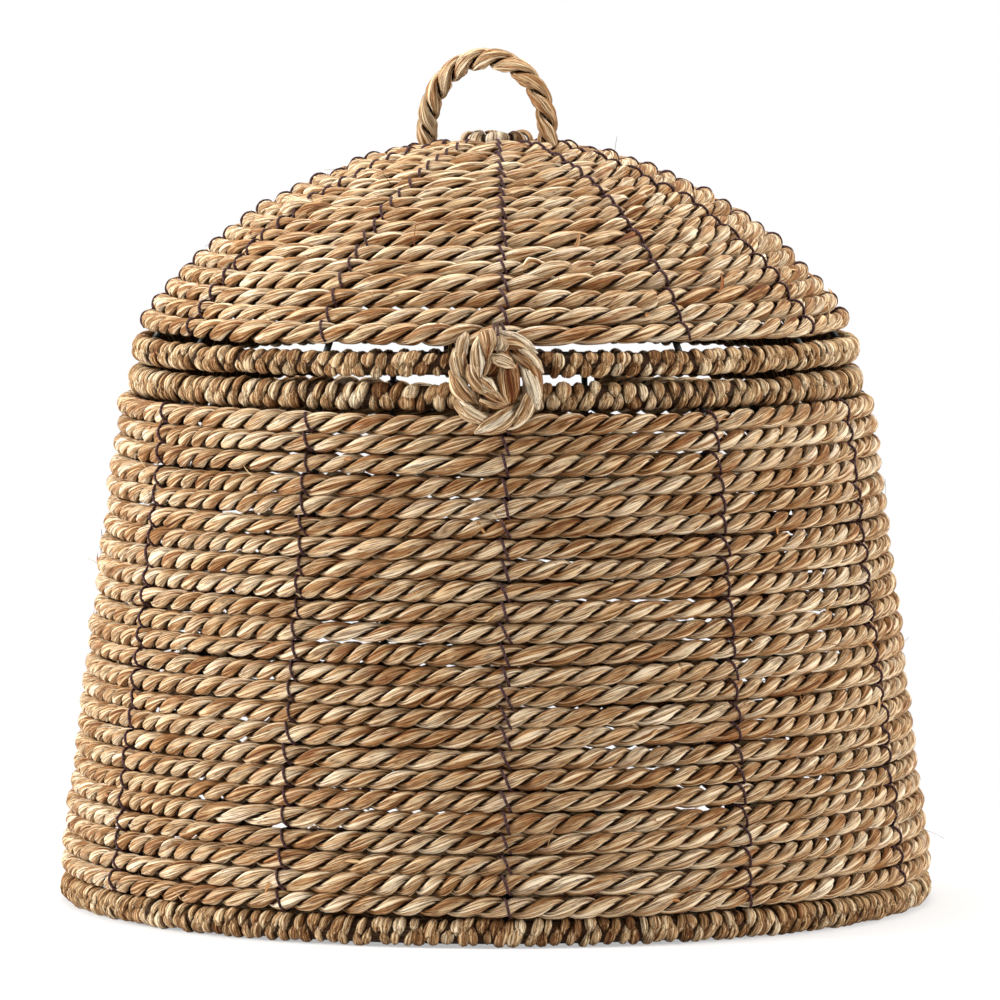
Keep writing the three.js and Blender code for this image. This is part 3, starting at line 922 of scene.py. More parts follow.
class NodeBuilder:
    """Adds shader nodes to a tree in short calls."""

    # Where the mix node has its two colours and its result.
    mix_colours: tuple[int, int] = (6, 7)
    mix_result: int = 2

    def __init__(self, tree: bpy.types.NodeTree) -> None:
        """Work on a tree."""
        self.tree = tree

    def put(self, socket: Socket, value: object) -> None:
        """Link a socket to another one, or set its value.

        Args:
            socket: The input.
            value: The other socket, or the value.
        """
        if isinstance(value, Socket):
            self.tree.links.new(value, socket)
        else:
            socket.default_value = value

    def add(
        self, kind: str, inputs: dict[str | int, object] | None = None, **settings: object
    ) -> bpy.types.Node:
        """Add one node.

        Args:
            kind: The node's type.
            inputs: Values or sockets for its inputs.
            **settings: Its properties.

        Returns:
            The node.
        """
        node = self.tree.nodes.new(kind)
        for key, value in settings.items():
            setattr(node, key, value)
        for key, value in (inputs or {}).items():
            self.put(node.inputs[key], value)
        return node

    def attribute(self, name: str, socket: str = "Fac") -> Socket:
        """Read one of the mesh's own values."""
        return self.add("ShaderNodeAttribute", attribute_name=name).outputs[socket]

    def maths(self, operation: str, *values: object) -> Socket:
        """Do one sum on numbers."""
        return self.add("ShaderNodeMath", dict(enumerate(values)), operation=operation).outputs[0]

    def scaled(self, vector: Socket, scale: Triple) -> Socket:
        """Multiply a vector by three factors."""
        return self.add("ShaderNodeVectorMath", {0: vector, 1: scale}, operation="MULTIPLY").outputs[0]

    def noise(self, grain: Socket, noise: Noise) -> Socket:
        """Add noise along the fibre.

        Args:
            grain: Lengths along and across the fibre.
            noise: Which noise.

        Returns:
            Its value, from 0 to 1.
        """
        vector = self.scaled(grain, (noise.along, noise.across, noise.across))
        inputs = {"Vector": vector, "Scale": 1.0, "Detail": noise.detail, "Roughness": noise.roughness}
        return self.add("ShaderNodeTexNoise", inputs).outputs["Fac"]

    def faded(self, value: Socket, fade: Fade) -> Socket:
        """Read a fade at a value."""
        inputs = {"Value": value, **fade.inputs}
        return self.add("ShaderNodeMapRange", inputs, interpolation_type="SMOOTHSTEP").outputs["Result"]

    def ramp(self, value: Socket, places: Sequence[float], colours: Sequence[Triple]) -> Socket:
        """Colour a value by stops.

        Args:
            value: The value.
            places: Where the stops are.
            colours: Their colours.

        Returns:
            The colour.
        """
        node = self.add("ShaderNodeValToRGB", {"Fac": value})
        elements = node.color_ramp.elements
        while len(elements) < len(places):
            elements.new(0.5)
        for element, place, colour in zip(elements, places, colours):
            element.position = place
            element.color = (*colour, 1.0)
        return node.outputs["Color"]

    def mixed(self, share: Socket, first: object, second: object) -> Socket:
        """Mix two colours.

        Args:
            share: The second one's share.
            first: The first colour or its socket.
            second: The second colour or its socket.

        Returns:
            The mixed colour.
        """
        node = self.add("ShaderNodeMix", {0: share}, data_type="RGBA")
        for index, value in zip(self.mix_colours, (first, second)):
            self.put(node.inputs[index], value if isinstance(value, Socket) else (*value, 1.0))
        return node.outputs[self.mix_result]

    def seen_directly(self) -> Socket:
        """Find the rays from the camera, a reflection or a transmission.

        Returns:
            1 for such a ray and 0 for others.
        """
        rays = self.add("ShaderNodeLightPath").outputs
        seen = self.maths("MAXIMUM", rays["Is Camera Ray"], rays["Is Glossy Ray"])
        return self.maths("MAXIMUM", seen, rays["Is Transmission Ray"])


class FinishBuilder(NodeBuilder):
    """Adds shader nodes to a new material."""

    def __init__(self, name: str) -> None:
        """Make the material.

        Args:
            name: The material's name.
        """
        self.material = bpy.data.materials.new(name)
        self.material.use_nodes = True
        super().__init__(self.material.node_tree)
        self.shader = self.tree.nodes["Principled BSDF"]

    def drive(self, socket: str, value: object) -> None:
        """Set or link one of the shader's sockets."""
        self.put(self.shader.inputs[socket], value)

    def bump(self, height: Socket, distance: float, strength: float) -> None:
        """Raise the surface by a height."""
        inputs = {"Height": height, "Distance": distance, "Strength": strength}
        self.drive("Normal", self.add("ShaderNodeBump", inputs).outputs["Normal"])


def from_screen(colour: Triple) -> Triple:
    """Turn a colour as it shows on screen into the renderer's linear one.

    Args:
        colour: Red, green and blue from 0 to 255.

    Returns:
        The linear colour.
    """
    shares = [value / 255 for value in colour]
    red, green, blue = (s / 12.92 if s <= 0.04045 else ((s + 0.055) / 1.055) ** 2.4 for s in shares)
    return red, green, blue


@dataclass(frozen=True)
class LeafFinish:
    """Dried leaf strands: folded and streaked along the fibre, reddish in patches, with painted shade in
    creases.
    """

    name: str
    deep: Triple
    brown: Triple
    tan: Triple
    cream: Triple
    # Colour of the painted shade in creases and on the plies' inner sides.
    crease: Triple = (44, 21, 8)
    rust: Triple = (152, 88, 52)
    streak_noise: Noise = Noise(26.0, 820.0, 3.0, 0.62)
    fibre_noise: Noise = Noise(70.0, 2300.0, 3.0, 0.6)
    stain_noise: Noise = Noise(60.0, 110.0, 4.0, 0.65)
    speck_noise: Noise = Noise(330.0, 700.0, 2.0, 0.5)
    rust_noise: Noise = Noise(34.0, 190.0, 3.0, 0.6)
    tone_weight: float = 0.85
    streak_weight: float = 1.15
    fibre_weight: float = 0.75
    stain_weight: float = 0.30
    colour_places: Numbers = (0.16, 0.38, 0.56, 0.78)
    rust_fade: Fade = Fade(0.56, 0.70, 0.0, 0.40)
    fold_fade: Fade = Fade(0.0, 0.035, 1.0, 0.0)
    crack_fade: Fade = Fade(0.34, 0.42, 0.9, 0.0)
    vein_fade: Fade = Fade(0.34, 0.45, 0.6, 0.0)
    line_weight: float = 0.85
    speck_fade: Fade = Fade(0.70, 0.78, 0.0, 0.75)
    painted_shade_fade: Fade = Fade(0.04, 0.72, 0.0, 0.95)
    roughness_fade: Fade = Fade(0.3, 0.7, 0.42, 0.62)
    specular: float = 0.06
    streak_height: float = 0.8
    fibre_height: float = 0.45
    fold_depth: float = 0.35
    bump_distance: float = 0.0009
    bump_strength: float = 0.8

    def build(self) -> Material:
        """Make the material.

        Returns:
            The material.
        """
        nodes = FinishBuilder(self.name)
        grain = nodes.attribute("grain", "Vector")
        tone = nodes.attribute("tone")
        painted_shade = nodes.attribute("painted_shade")
        noises = (self.streak_noise, self.fibre_noise, self.stain_noise, self.speck_noise, self.rust_noise)
        streak, fibre, stain, speck, rust = (nodes.noise(grain, noise) for noise in noises)
        value = nodes.maths("MULTIPLY_ADD", tone, self.tone_weight, 0.5 - self.tone_weight / 2)
        weights = ((streak, self.streak_weight), (fibre, self.fibre_weight), (stain, self.stain_weight))
        for noise, weight in weights:
            value = nodes.maths("ADD", value, nodes.maths("MULTIPLY_ADD", noise, weight, -weight / 2))
        deep = from_screen(self.deep)
        colours = (deep, from_screen(self.brown), from_screen(self.tan), from_screen(self.cream))
        colour = nodes.ramp(value, self.colour_places, colours)
        colour = nodes.mixed(nodes.faded(rust, self.rust_fade), colour, from_screen(self.rust))
        folds = nodes.maths("ABSOLUTE", nodes.maths("SUBTRACT", streak, 0.5))
        folds = nodes.faded(folds, self.fold_fade)
        cracks = nodes.faded(streak, self.crack_fade)
        veins = nodes.faded(fibre, self.vein_fade)
        lines = nodes.maths("MAXIMUM", nodes.maths("MAXIMUM", folds, veins), cracks)
        colour = nodes.mixed(nodes.maths("MULTIPLY", lines, self.line_weight), colour, deep)
        colour = nodes.mixed(nodes.faded(speck, self.speck_fade), colour, deep)
        # Painted shade: mix towards the crease colour as far as the mesh marks a point shaded.
        colour = nodes.mixed(nodes.faded(painted_shade, self.painted_shade_fade), colour, from_screen(self.crease))
        nodes.drive("Base Color", colour)
        nodes.drive("Roughness", nodes.faded(streak, self.roughness_fade))
        nodes.drive("Specular IOR Level", self.specular)
        raised = nodes.maths("MULTIPLY", streak, self.streak_height)
        raised = nodes.maths("ADD", raised, nodes.maths("MULTIPLY", fibre, self.fibre_height))
        raised = nodes.maths("SUBTRACT", raised, nodes.maths("MULTIPLY", folds, self.fold_depth))
        nodes.bump(raised, self.bump_distance, self.bump_strength)
        return nodes.material


@dataclass(frozen=True)
class ThreadFinish:
    """Dark spun thread, its own fine lay in the bump."""

    name: str
    dark: Triple
    light: Triple
    skew: Triple = (1.0, 0.9, 0.9)
    lay_scale: float = 300.0
    lay_distortion: float = 1.5
    fuzz_noise: Noise = Noise(700.0, 2500.0, 3.0)
    lay_weight: float = 0.5
    colour_places: Numbers = (0.2, 0.8)
    roughness_fade: Fade = Fade(0.3, 0.7, 0.5, 0.75)
    specular: float = 0.15
    bump_distance: float = 0.0003
    bump_strength: float = 0.6

    def build(self) -> Material:
        """Make the material.

        Returns:
            The material.
        """
        nodes = FinishBuilder(self.name)
        grain = nodes.attribute("grain", "Vector")
        skewed = nodes.scaled(grain, self.skew)
        inputs = {"Vector": skewed, "Scale": self.lay_scale, "Distortion": self.lay_distortion, "Detail": 1.0}
        lay = nodes.add("ShaderNodeTexWave", inputs, bands_direction="DIAGONAL").outputs["Fac"]
        fuzz = nodes.noise(grain, self.fuzz_noise)
        shade = nodes.maths("MULTIPLY", lay, self.lay_weight)
        shade = nodes.maths("ADD", shade, nodes.maths("MULTIPLY", fuzz, 1 - self.lay_weight))
        colours = (from_screen(self.dark), from_screen(self.light))
        nodes.drive("Base Color", nodes.ramp(shade, self.colour_places, colours))
        nodes.drive("Roughness", nodes.faded(fuzz, self.roughness_fade))
        nodes.drive("Specular IOR Level", self.specular)
        nodes.bump(lay, self.bump_distance, self.bump_strength)
        return nodes.material


@dataclass(frozen=True)
class WireFinish:
    """Drawn steel wire under a thin dull coat, scuffed here and there."""

    name: str
    coat: Triple
    scuff: Triple
    drawn_noise: Noise = Noise(30.0, 1800.0, 3.0)
    worn_noise: Noise = Noise(90.0, 260.0, 4.0, 0.65)
    worn_fade: Fade = Fade(0.5, 0.68, 0.0, 1.0)
    metallic: float = 0.75
    roughness_fade: Fade = Fade(0.3, 0.7, 0.32, 0.55)
    bump_distance: float = 0.0001
    bump_strength: float = 0.4

    def build(self) -> Material:
        """Make the material.

        Returns:
            The material.
        """
        nodes = FinishBuilder(self.name)
        grain = nodes.attribute("grain", "Vector")
        drawn = nodes.noise(grain, self.drawn_noise)
        worn = nodes.faded(nodes.noise(grain, self.worn_noise), self.worn_fade)
        nodes.drive("Base Color", nodes.mixed(worn, from_screen(self.coat), from_screen(self.scuff)))
        nodes.drive("Metallic", self.metallic)
        nodes.drive("Roughness", nodes.faded(drawn, self.roughness_fade))
        nodes.bump(drawn, self.bump_distance, self.bump_strength)
        return nodes.material


class Finishes:
    """The finishes that the pieces share."""

    def __init__(self) -> None:
        """Make every material once."""
        self.rope = LeafFinish(
            "dried_leaf_rope",
            deep=(86, 42, 17),
            brown=(173, 126, 79),
            tan=(222, 193, 151),
            cream=(247, 231, 203),
        ).build()
        self.wrap = LeafFinish(
            "dried_leaf_wrap",
            deep=(78, 42, 19),
            brown=(168, 124, 80),
            tan=(219, 186, 140),
            cream=(249, 231, 198),
            # The wrapping's painted crease shade, darker still.
            crease=(36, 17, 7),
        ).build()
        self.husk = LeafFinish(
            "husk_fibre",
            deep=(120, 66, 34),
            brown=(170, 108, 62),
            tan=(204, 152, 98),
            cream=(226, 196, 148),
        ).build()
        self.thread = ThreadFinish("dark_thread", dark=(40, 24, 25), light=(86, 57, 58)).build()
        self.wire = WireFinish("coated_wire", coat=(40, 43, 41), scuff=(78, 80, 77)).build()

    def of(self, slot: Slot) -> Material:
        """Give the usual finish of a slot."""
        usual = {Slot.ROPE: self.rope, Slot.WRAP: self.wrap, Slot.THREAD: self.thread, Slot.WIRE: self.wire}
        return usual[slot]


# Sub-assemblies


@dataclass
class Workshop:
    """What every sub-assembly needs: the sizes, the lines and the finishes."""

    sizes: BasketSizes
    wall_line: WallLine
    lid_line: LidLine
    finishes: Finishes

    def fit(
        self,
        weave: Weave,
        name: str,
        slot: Slot,
        body: Body | None,
        *nodes: str,
        finish: Material | None = None,
    ) -> bpy.types.Object:
        """Build a weave and fix it to its body.

        Args:
            weave: The piece's strands.
            name: The piece's name.
            slot: The record's slot that it belongs to.
            body: What it rides on, or None to leave it on no body.
            *nodes: The construction's nodes that it stands for.
            finish: Its material, where it isn't the slot's usual one.

        Returns:
            The piece.
        """
        piece = weave.build(name, finish or self.finishes.of(slot))
        if body is not None:
            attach(piece, body.value)
        if nodes:
            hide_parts(*nodes)
        return piece


@dataclass
class Wrapping:
    """Strands hooked over a ring in two interlocking rows."""

    ring_radius: float
    ring_height: float
    section_radius: float
    spacing: float
    seed: Seed
    stations: int = 24
    half_width: float = 0.0033
    half_thickness: float = 0.0018
    row_angle: float = math.radians(33)
    row_change: float = 0.17
    edge_spread: float = math.radians(95)
    tail_spread: float = math.radians(52)
    slimmest_share: float = 0.2
    inside_start: float = 1.7
    inside_fade: float = 0.7
    inside_girth: float = 0.35
    girth_change: float = 0.16
    thinnest_share: float = 0.75
    sink: float = 0.0022
    sink_change: float = 0.00035
    side_change: float = 0.0007
    lean: float = 0.0007
    lean_change: float = 0.0007
    core_share: float = 0.74
    core_sides: int = 10
    core_steps: int = 180
    side_swell: float = 0.0
    back_drop: float = 0.0
    floor_height: float | None = None
    shade: float = 0.5
    tone_change: float = 0.11
    gap_shade: float = 0.5

    def weave(self) -> Weave:
        """Make the loops of strand.

        Returns:
            A weave that holds all of them.
        """
        rng = self.seed.source()
        loops = 2 * round(FULL_TURN * self.ring_radius / self.spacing / 2)
        each = (loops, 1, 1)
        number = np.arange(loops).reshape(each)
        theta = (np.arange(self.stations) / self.stations * FULL_TURN - math.pi)[None, :, None]
        upper = number % 2 == 0
        row = np.where(upper, self.row_angle, -self.row_angle)
        row = row + rng.normal(0, self.row_change, each)
        away = (theta - row) * np.where(upper, 1, -1)
        fat = np.exp(-((away / np.where(away > 0, self.edge_spread, self.tail_spread)) ** 2))
        inside = ease((np.abs(theta) - self.inside_start) / self.inside_fade)
        fat = np.maximum(fat, self.inside_girth * inside)
        girth = 1 + rng.normal(0, self.girth_change, each)
        half_width = self.half_width * (self.slimmest_share + (1 - self.slimmest_share) * fat) * girth
        middle = self.section_radius - self.half_thickness - self.sink * (1 - fat)
        middle = middle + rng.normal(0, self.sink_change, each)
        jitter = rng.normal(0, self.side_change, each)
        lean = self.lean + rng.normal(0, self.lean_change, each)
        sideways = jitter + lean * np.sin(theta - row) * np.cos(theta / 2)
        turned = rng.choice([-1.0, 1.0], loops).reshape(each)
        across = turned * BLADE.across[None, None, :] * half_width
        thickness = self.thinnest_share + (1 - self.thinnest_share) * fat
        rise = BLADE.height[None, None, :] * self.half_thickness * thickness
        bearing = number * FULL_TURN / loops
        azimuth = bearing + (sideways + across) / self.ring_radius
        out = (middle + rise) * (1 + self.side_swell * np.sin(bearing) ** 2)
        radius = self.ring_radius + out * np.cos(theta)
        height = self._level(bearing) + out * np.sin(theta)
        if self.floor_height is not None:
            height = np.maximum(height, self.floor_height)
        places = around(radius, azimuth, height)
        run = np.broadcast_to(theta * self.section_radius, radius.shape)
        start = rng.uniform(0, Weave.grain_range, each)
        grain = np.stack([run + start, np.broadcast_to(across, radius.shape), out + start], axis=-1)
        tone = np.clip(self.shade + rng.normal(0, self.tone_change, each), 0, 1)
        # Painted shade: creases darkened, and more where a loop thins, so the gaps between loops look shaded.
        painted_shade = np.clip(BLADE.painted_shade[None, None, :] + self.gap_shade * (1 - fat), 0, 1)
        strands = (places, grain, np.broadcast_to(tone, radius.shape), np.broadcast_to(painted_shade, radius.shape))
        weave = Weave(rng)
        mirrored = turned[:, 0, 0] < 0
        weave.add(*(values[mirrored] for values in strands), closed=True)
        weave.add(*(values[~mirrored][:, :, ::-1] for values in strands), closed=True)
        self._add_core(weave)
        return weave

    def _level(self, bearing: Array) -> Array:
        """Give the height of the ring's middle line, a little lower at the back."""
        return self.ring_height - self.back_drop * (1 - np.cos(bearing)) / 2

    def _add_core(self, weave: Weave) -> None:
        """Add the fill under the loops, painted fully in crease shade.

        Args:
            weave: What it is added to.
        """
        bearing = np.linspace(0, FULL_TURN, self.core_steps, endpoint=False)
        centre = around(self.ring_radius, bearing, self._level(bearing))
        route = Route.through(centre, heading(bearing), closed=True)
        weave.add_cord(route, self.section_radius * self.core_share, self.core_sides, painted_shade=1.0)


@dataclass
class Stitching:
    """The dark lacing threads that tie every course of a coil to its uprights."""

    shop: Workshop
    rope: TwistedRope
    coil: Coil
    slant: float = 0.0022
    slant_change: float = 0.22
    place_change: float = 0.0003
    side_reach: float = 0.0026
    radius: float = 0.00068
    bed_share: float = 0.97
    lift_share: float = 0.7
    steps: int = 3
    sides: int = 6
    front_angles: Numbers = (-80, -42, 0, 42, 80)
    lean_shares: Numbers = (1.0, 0.55, 0.0, -0.55, -1.0)

    def lace(self, body: Body, name: str, seed: Seed) -> None:
        """Make every row of stitches, each a piece of its own.

        Args:
            body: What they ride on.
            name: What the names of the rows and their nodes start with.
            seed: The seed of the first row.
        """
        for index in range(self.coil.supports):
            weave = self.row(index, Weave(seed.source(index)))
            number = f"{index + 1:02d}"
            self.shop.fit(weave, f"{name}_stitches_{number}", Slot.THREAD, body, f"{name}_lacing_{number}")

    def row(self, index: int, weave: Weave) -> Weave:
        """Make one row of stitches.

        Args:
            index: Which upright.
            weave: What it is added to.

        Returns:
            The weave with the thread.
        """
        rng = weave.rng
        sizes = self.shop.sizes
        coil = self.coil
        rope = self.rope
        thread = self.radius
        part = ((sizes.meridian(index, coil.supports) - coil.start) / FULL_TURN) % 1
        turns = part + np.arange(int(rope.turns[-1] - part) + 1)
        spot = rope.at_turns(turns)
        along = np.cross(spot["up"], spot["out"])
        leans = self.slant * (1 + rng.normal(0, self.slant_change, len(turns)))[:, None]
        shift = rng.normal(0, self.place_change, len(turns))[:, None]
        points = []
        for angle, lean in zip(np.radians(self.front_angles), self.lean_shares):
            bed = rope.reach(spot["phase"], angle) * spot["girth"] * self.bed_share
            reach = (bed + thread * self.lift_share)[:, None]
            place = spot["centre"] + spot["out"] * reach * math.cos(angle)
            place = place + spot["up"] * reach * math.sin(angle)
            points.append(place + along * (leans * lean + shift))
        half_pitch = coil.pitch / 2
        wire_middle = sizes.wire_offset
        behind = wire_middle + sizes.wire_radius + thread
        for depth, side in ((wire_middle, -1.0), (behind, 0.0), (wire_middle, 1.0)):
            place = spot["centre"] - spot["out"] * depth + spot["up"] * half_pitch
            points.append(place + along * self.side_reach * side)
        line = smooth_line(np.stack(points, axis=1).reshape(-1, 3), self.steps)
        outward = np.repeat(spot["out"], len(points) * self.steps, axis=0)[: len(line)]
        outward = np.vstack([outward, np.repeat(outward[-1:], len(line) - len(outward), axis=0)])
        weave.add_cord(Route.through(line, np.cross(outward, UP)), thread, self.sides)
        return weave


@dataclass
class WireFrame:
    """A frame of bent wire: level rings, and uprights or ribs between them."""

    radius: float
    seed: Seed
    sides: int = 12
    least_steps: int = 36
    steps_per_metre: float = 900

    def __post_init__(self) -> None:
        """Start with no wire."""
        self.weave = Weave(self.seed.source())

    def ring(self, ring_radius: float, height: float) -> None:
        """Add a level ring.

        Args:
            ring_radius: The ring's radius.
            height: Its height.
        """
        steps = max(self.least_steps, int(ring_radius * self.steps_per_metre))
        azimuth = np.arange(steps) / steps * FULL_TURN
        self.bar(around(ring_radius, azimuth, height), heading(azimuth), closed=True)

    def bar(self, centre: Array, out_hint: Array, closed: bool = False) -> None:
        """Add one length of wire along its middle line, given a direction across it."""
        self.weave.add_cord(Route.through(centre, out_hint, closed), self.radius, self.sides)


@dataclass
class BasketBody:
    """The body: its coiled wall and floor, wrapped rings, wire frame and lacing."""

    shop: Workshop
    lay: Lay = Lay(diameter=0.0097, length=0.0264, slack=1.3)
    wall_parts: int = 6
    sway: float = 0.0004
    drift: float = 0.00036
    floor_lay: Lay = Lay(diameter=0.0088, length=0.0238, blades=3, gap=0.0042)
    floor_pitch_share: float = 1.01
    floor_steps: int = 240
    rim_swell: float = 0.0001
    upright_steps: int = 12

    def build(self) -> None:
        """Make every piece of the body."""
        self.wall_rope()
        self.floor()
        self.rings()
        self.wire()

    def wall_rope(self) -> None:
        """Coil the wall's rope and lace it to the uprights."""
        shop = self.shop
        sizes = shop.sizes
        coil = Coil(sizes, shop.wall_line, sizes.body_uprights, extra_turns=sizes.level_share)
        self.rope = coil.rope(self.lay, Seed.WALL_ROPE.source(), self.sway, self.drift)
        for index, weave in enumerate(self.rope.weave(self.wall_parts)):
            shop.fit(weave, f"wall_coil_{index + 1}", Slot.ROPE, Body.BASKET, "wall_rope")
        Stitching(shop, self.rope, coil).lace(Body.BASKET, "body", Seed.BODY_STITCHES)

    def floor(self) -> None:
        """Coil the floor's rope inwards, flat."""
        sizes = self.shop.sizes
        lay = self.floor_lay
        pitch = lay.diameter * self.floor_pitch_share
        edge = sizes.base_ring_radius - sizes.base_ring_section / 2 - sizes.seat_gap - lay.radius
        height = sizes.floor_lift + sizes.floor_thickness / 2
        turns = (edge - lay.radius) / pitch
        fine = np.linspace(0, turns, int(turns * self.floor_steps))
        run, even = even_run(around(edge - pitch * fine, fine * FULL_TURN, height), lay.gap)
        turn = np.interp(even, run, fine)
        route = Route.through(around(edge - pitch * turn, turn * FULL_TURN, height), UP)
        weave = TwistedRope(route, lay, Seed.FLOOR_ROPE.source()).weave(1)[0]
        self.shop.fit(weave, "floor_spiral", Slot.ROPE, Body.BASKET, "floor_coil")

    def rings(self) -> None:
        """Wrap the foot ring and the rim."""
        sizes = self.shop.sizes
        foot = Wrapping(
            sizes.base_ring_radius,
            sizes.base_ring_height,
            sizes.base_ring_section / 2,
            spacing=0.00305,
            seed=Seed.FOOT_RING,
            stations=19,
            half_width=0.0027,
            row_angle=math.radians(31),
            tail_spread=math.radians(47),
            floor_height=0.0,
            shade=0.46,
        )
        rim = Wrapping(
            sizes.body_rim_radius,
            sizes.body_rim_height,
            sizes.body_rim_section / 2 + self.rim_swell,
            spacing=0.0038,
            seed=Seed.BODY_RIM,
            side_swell=0.09,
            back_drop=0.0008,
        )
        self.shop.fit(foot.weave(), "foot_ring", Slot.WRAP, Body.BASKET, "base_ring_wrap")
        self.shop.fit(rim.weave(), "body_rim", Slot.WRAP, Body.BASKET, "body_rim_wrap")

    def wire(self) -> None:
        """Make the wire frame: two rings and the uprights."""
        sizes = self.shop.sizes
        line = self.shop.wall_line
        offset = -sizes.wire_offset
        wires = WireFrame(sizes.wire_radius, Seed.BODY_WIRES)
        ends = []
        for height in (sizes.base_ring_height, sizes.body_rim_height):
            radius, level, _, _ = line.point(line.length_at(height, offset), offset)
            ends.append((float(radius), float(level)))
            wires.ring(*ends[-1])
        for index in range(sizes.body_uprights):
            azimuth = sizes.meridian(index, sizes.body_uprights)
            low, high = (around(radius, azimuth, level) for radius, level in ends)
            wires.bar(np.linspace(low, high, self.upright_steps), heading(azimuth))
        self.shop.fit(wires.weave, "body_wires", Slot.WIRE, Body.BASKET, "body_frame")


@dataclass
class Lid:
    """The lid: its coiled dome, wrapped rim and crown, wire frame and lacing."""

    shop: Workshop
    lay: Lay = Lay(diameter=0.0096, length=0.0308, slack=1.2)
    parts: int = 3
    sway: float = 0.0004
    drift: float = 0.00034
    rib_steps: int = 30
    rim_swell: float = 0.00005
    splice_lay: Lay = Lay(diameter=0.0122, length=0.030, blades=7, slack=0.2)
    splice_places: tuple[Triple, ...] = ((-67, -37, 0.3315), (5, 20, 0.3055), (28, 17, 0.2915))
    splice_steps: int = 60
    splice_lift: float = 0.0034
    splice_sink: float = 0.001
    splice_tip: float = 0.45
    splice_opening: float = 14
    splice_taper: float = 0.35
    crown_swell: float = 1.27
    crown_bumps: int = 8
    fill_lay: Lay = Lay(diameter=0.006, length=0.018, gap=0.0012)
    fill_steps: int = 60
    fill_turns: float = 1.35
    fill_radius_share: float = 0.52
    fill_closing: float = 0.72
    fill_drop_share: float = 0.2

    def build(self) -> None:
        """Make every piece of the lid."""
        self.dome()
        self.splices()
        self.rim()
        self.crown()
        self.wire()

    def dome(self) -> None:
        """Coil the dome's rope and lace it to the ribs."""
        shop = self.shop
        coil = Coil(shop.sizes, shop.lid_line, shop.sizes.lid_ribs, even_share=1.0)
        self.rope = coil.rope(self.lay, Seed.LID_ROPE.source(), self.sway, self.drift)
        for index, weave in enumerate(self.rope.weave(self.parts)):
            shop.fit(weave, f"lid_coil_{index + 1}", Slot.ROPE, Body.LID, "lid_rope")
        Stitching(shop, self.rope, coil).lace(Body.LID, "lid", Seed.LID_STITCHES)

    def splices(self) -> None:
        """Lay the thick ends of new lengths of rope over the courses that they join."""
        line = self.shop.lid_line
        weave = Weave(Seed.SPLICES.source())
        share = np.linspace(0, 1, self.splice_steps)
        for index, (first, last, height) in enumerate(self.splice_places):
            course = float(np.interp(height, line.height, line.run))
            azimuth = np.radians(np.linspace(first, last, self.splice_steps))
            lift = self.splice_lift * (1 - ease(share)) - self.splice_sink
            radius, level, across, back = line.point(np.full(self.splice_steps, course))
            centre = around(radius + across * lift, azimuth, level + back * lift)
            route = Route.through(centre, around(across, azimuth, back))
            rope = TwistedRope(route, self.splice_lay, Seed.SPLICES.source(index))
            opened = self.splice_tip + (1 - self.splice_tip) * np.sqrt(ease(share * self.splice_opening))
            rope.girth = rope.girth * opened * (1 - self.splice_taper * share)
            rope.add_to(weave)
        self.shop.fit(weave, "lid_splices", Slot.ROPE, Body.LID)

    def rim(self) -> None:
        """Wrap the lid's rim."""
        sizes = self.shop.sizes
        rim = Wrapping(
            sizes.lid_rim_radius,
            sizes.lid_rim_height,
            sizes.lid_rim_section / 2 + self.rim_swell,
            spacing=0.0037,
            seed=Seed.LID_RIM,
            half_width=0.0032,
            side_swell=0.09,
        )
        self.shop.fit(rim.weave(), "lid_rim", Slot.WRAP, Body.LID, "lid_rim_wrap")

    def crown(self) -> None:
        """Wrap the small crown ring and fill its middle with a turn of thin rope."""
        shop = self.shop
        middle = shop.lid_line.crown_height()
        section = shop.sizes.crown_wrap_thickness / 2
        ring = shop.sizes.crown_wrap_radius - section
        wrapping = Wrapping(
            ring,
            middle,
            section * self.crown_swell,
            spacing=FULL_TURN * ring / self.crown_bumps,
            seed=Seed.CROWN_RING,
            stations=28,
            half_width=0.0039,
            half_thickness=0.0016,
            tail_spread=math.radians(105),
            slimmest_share=0.52,
            sink=0.0004,
            lean=0.0002,
            lean_change=0.0002,
            core_share=0.5,
            shade=0.6,
        )
        weave = wrapping.weave()
        turn = np.linspace(0, self.fill_turns, self.fill_steps)
        closing = 1 - self.fill_closing * turn / self.fill_turns
        radius = ring * self.fill_radius_share * closing
        centre = around(radius, turn * FULL_TURN, middle - section * self.fill_drop_share)
        TwistedRope(Route.through(centre, UP), self.fill_lay, Seed.CROWN_FILL.source()).add_to(weave)
        rope_finish = shop.finishes.of(Slot.ROPE)
        shop.fit(weave, "crown_ring", Slot.WRAP, Body.LID, "crown_wrap", finish=rope_finish)

    def wire(self) -> None:
        """Make the lid's wire frame: a rim ring, a crown ring and the ribs."""
        sizes = self.shop.sizes
        line = self.shop.lid_line
        rim = (sizes.lid_rim_radius - sizes.lid_rim_wire_shift, sizes.lid_rim_height)
        crown_height = line.crown_height() - sizes.crown_wrap_thickness / 2 + sizes.wire_diameter
        crown = (sizes.crown_wire_radius, crown_height)
        wires = WireFrame(sizes.wire_radius, Seed.LID_WIRES)
        wires.ring(*rim)
        wires.ring(*crown)
        radius, height, _, _ = line.point(np.linspace(0, line.length, self.rib_steps), -sizes.wire_offset)
        radius = np.concatenate([rim[:1], radius, crown[:1]])
        height = np.concatenate([rim[1:], height, crown[1:]])
        for index in range(sizes.lid_ribs):
            azimuth = sizes.meridian(index, sizes.lid_ribs)
            wires.bar(around(radius, azimuth, height), heading(azimuth + QUARTER_TURN))
        self.shop.fit(wires.weave, "lid_wires", Slot.WIRE, Body.LID, "lid_frame")


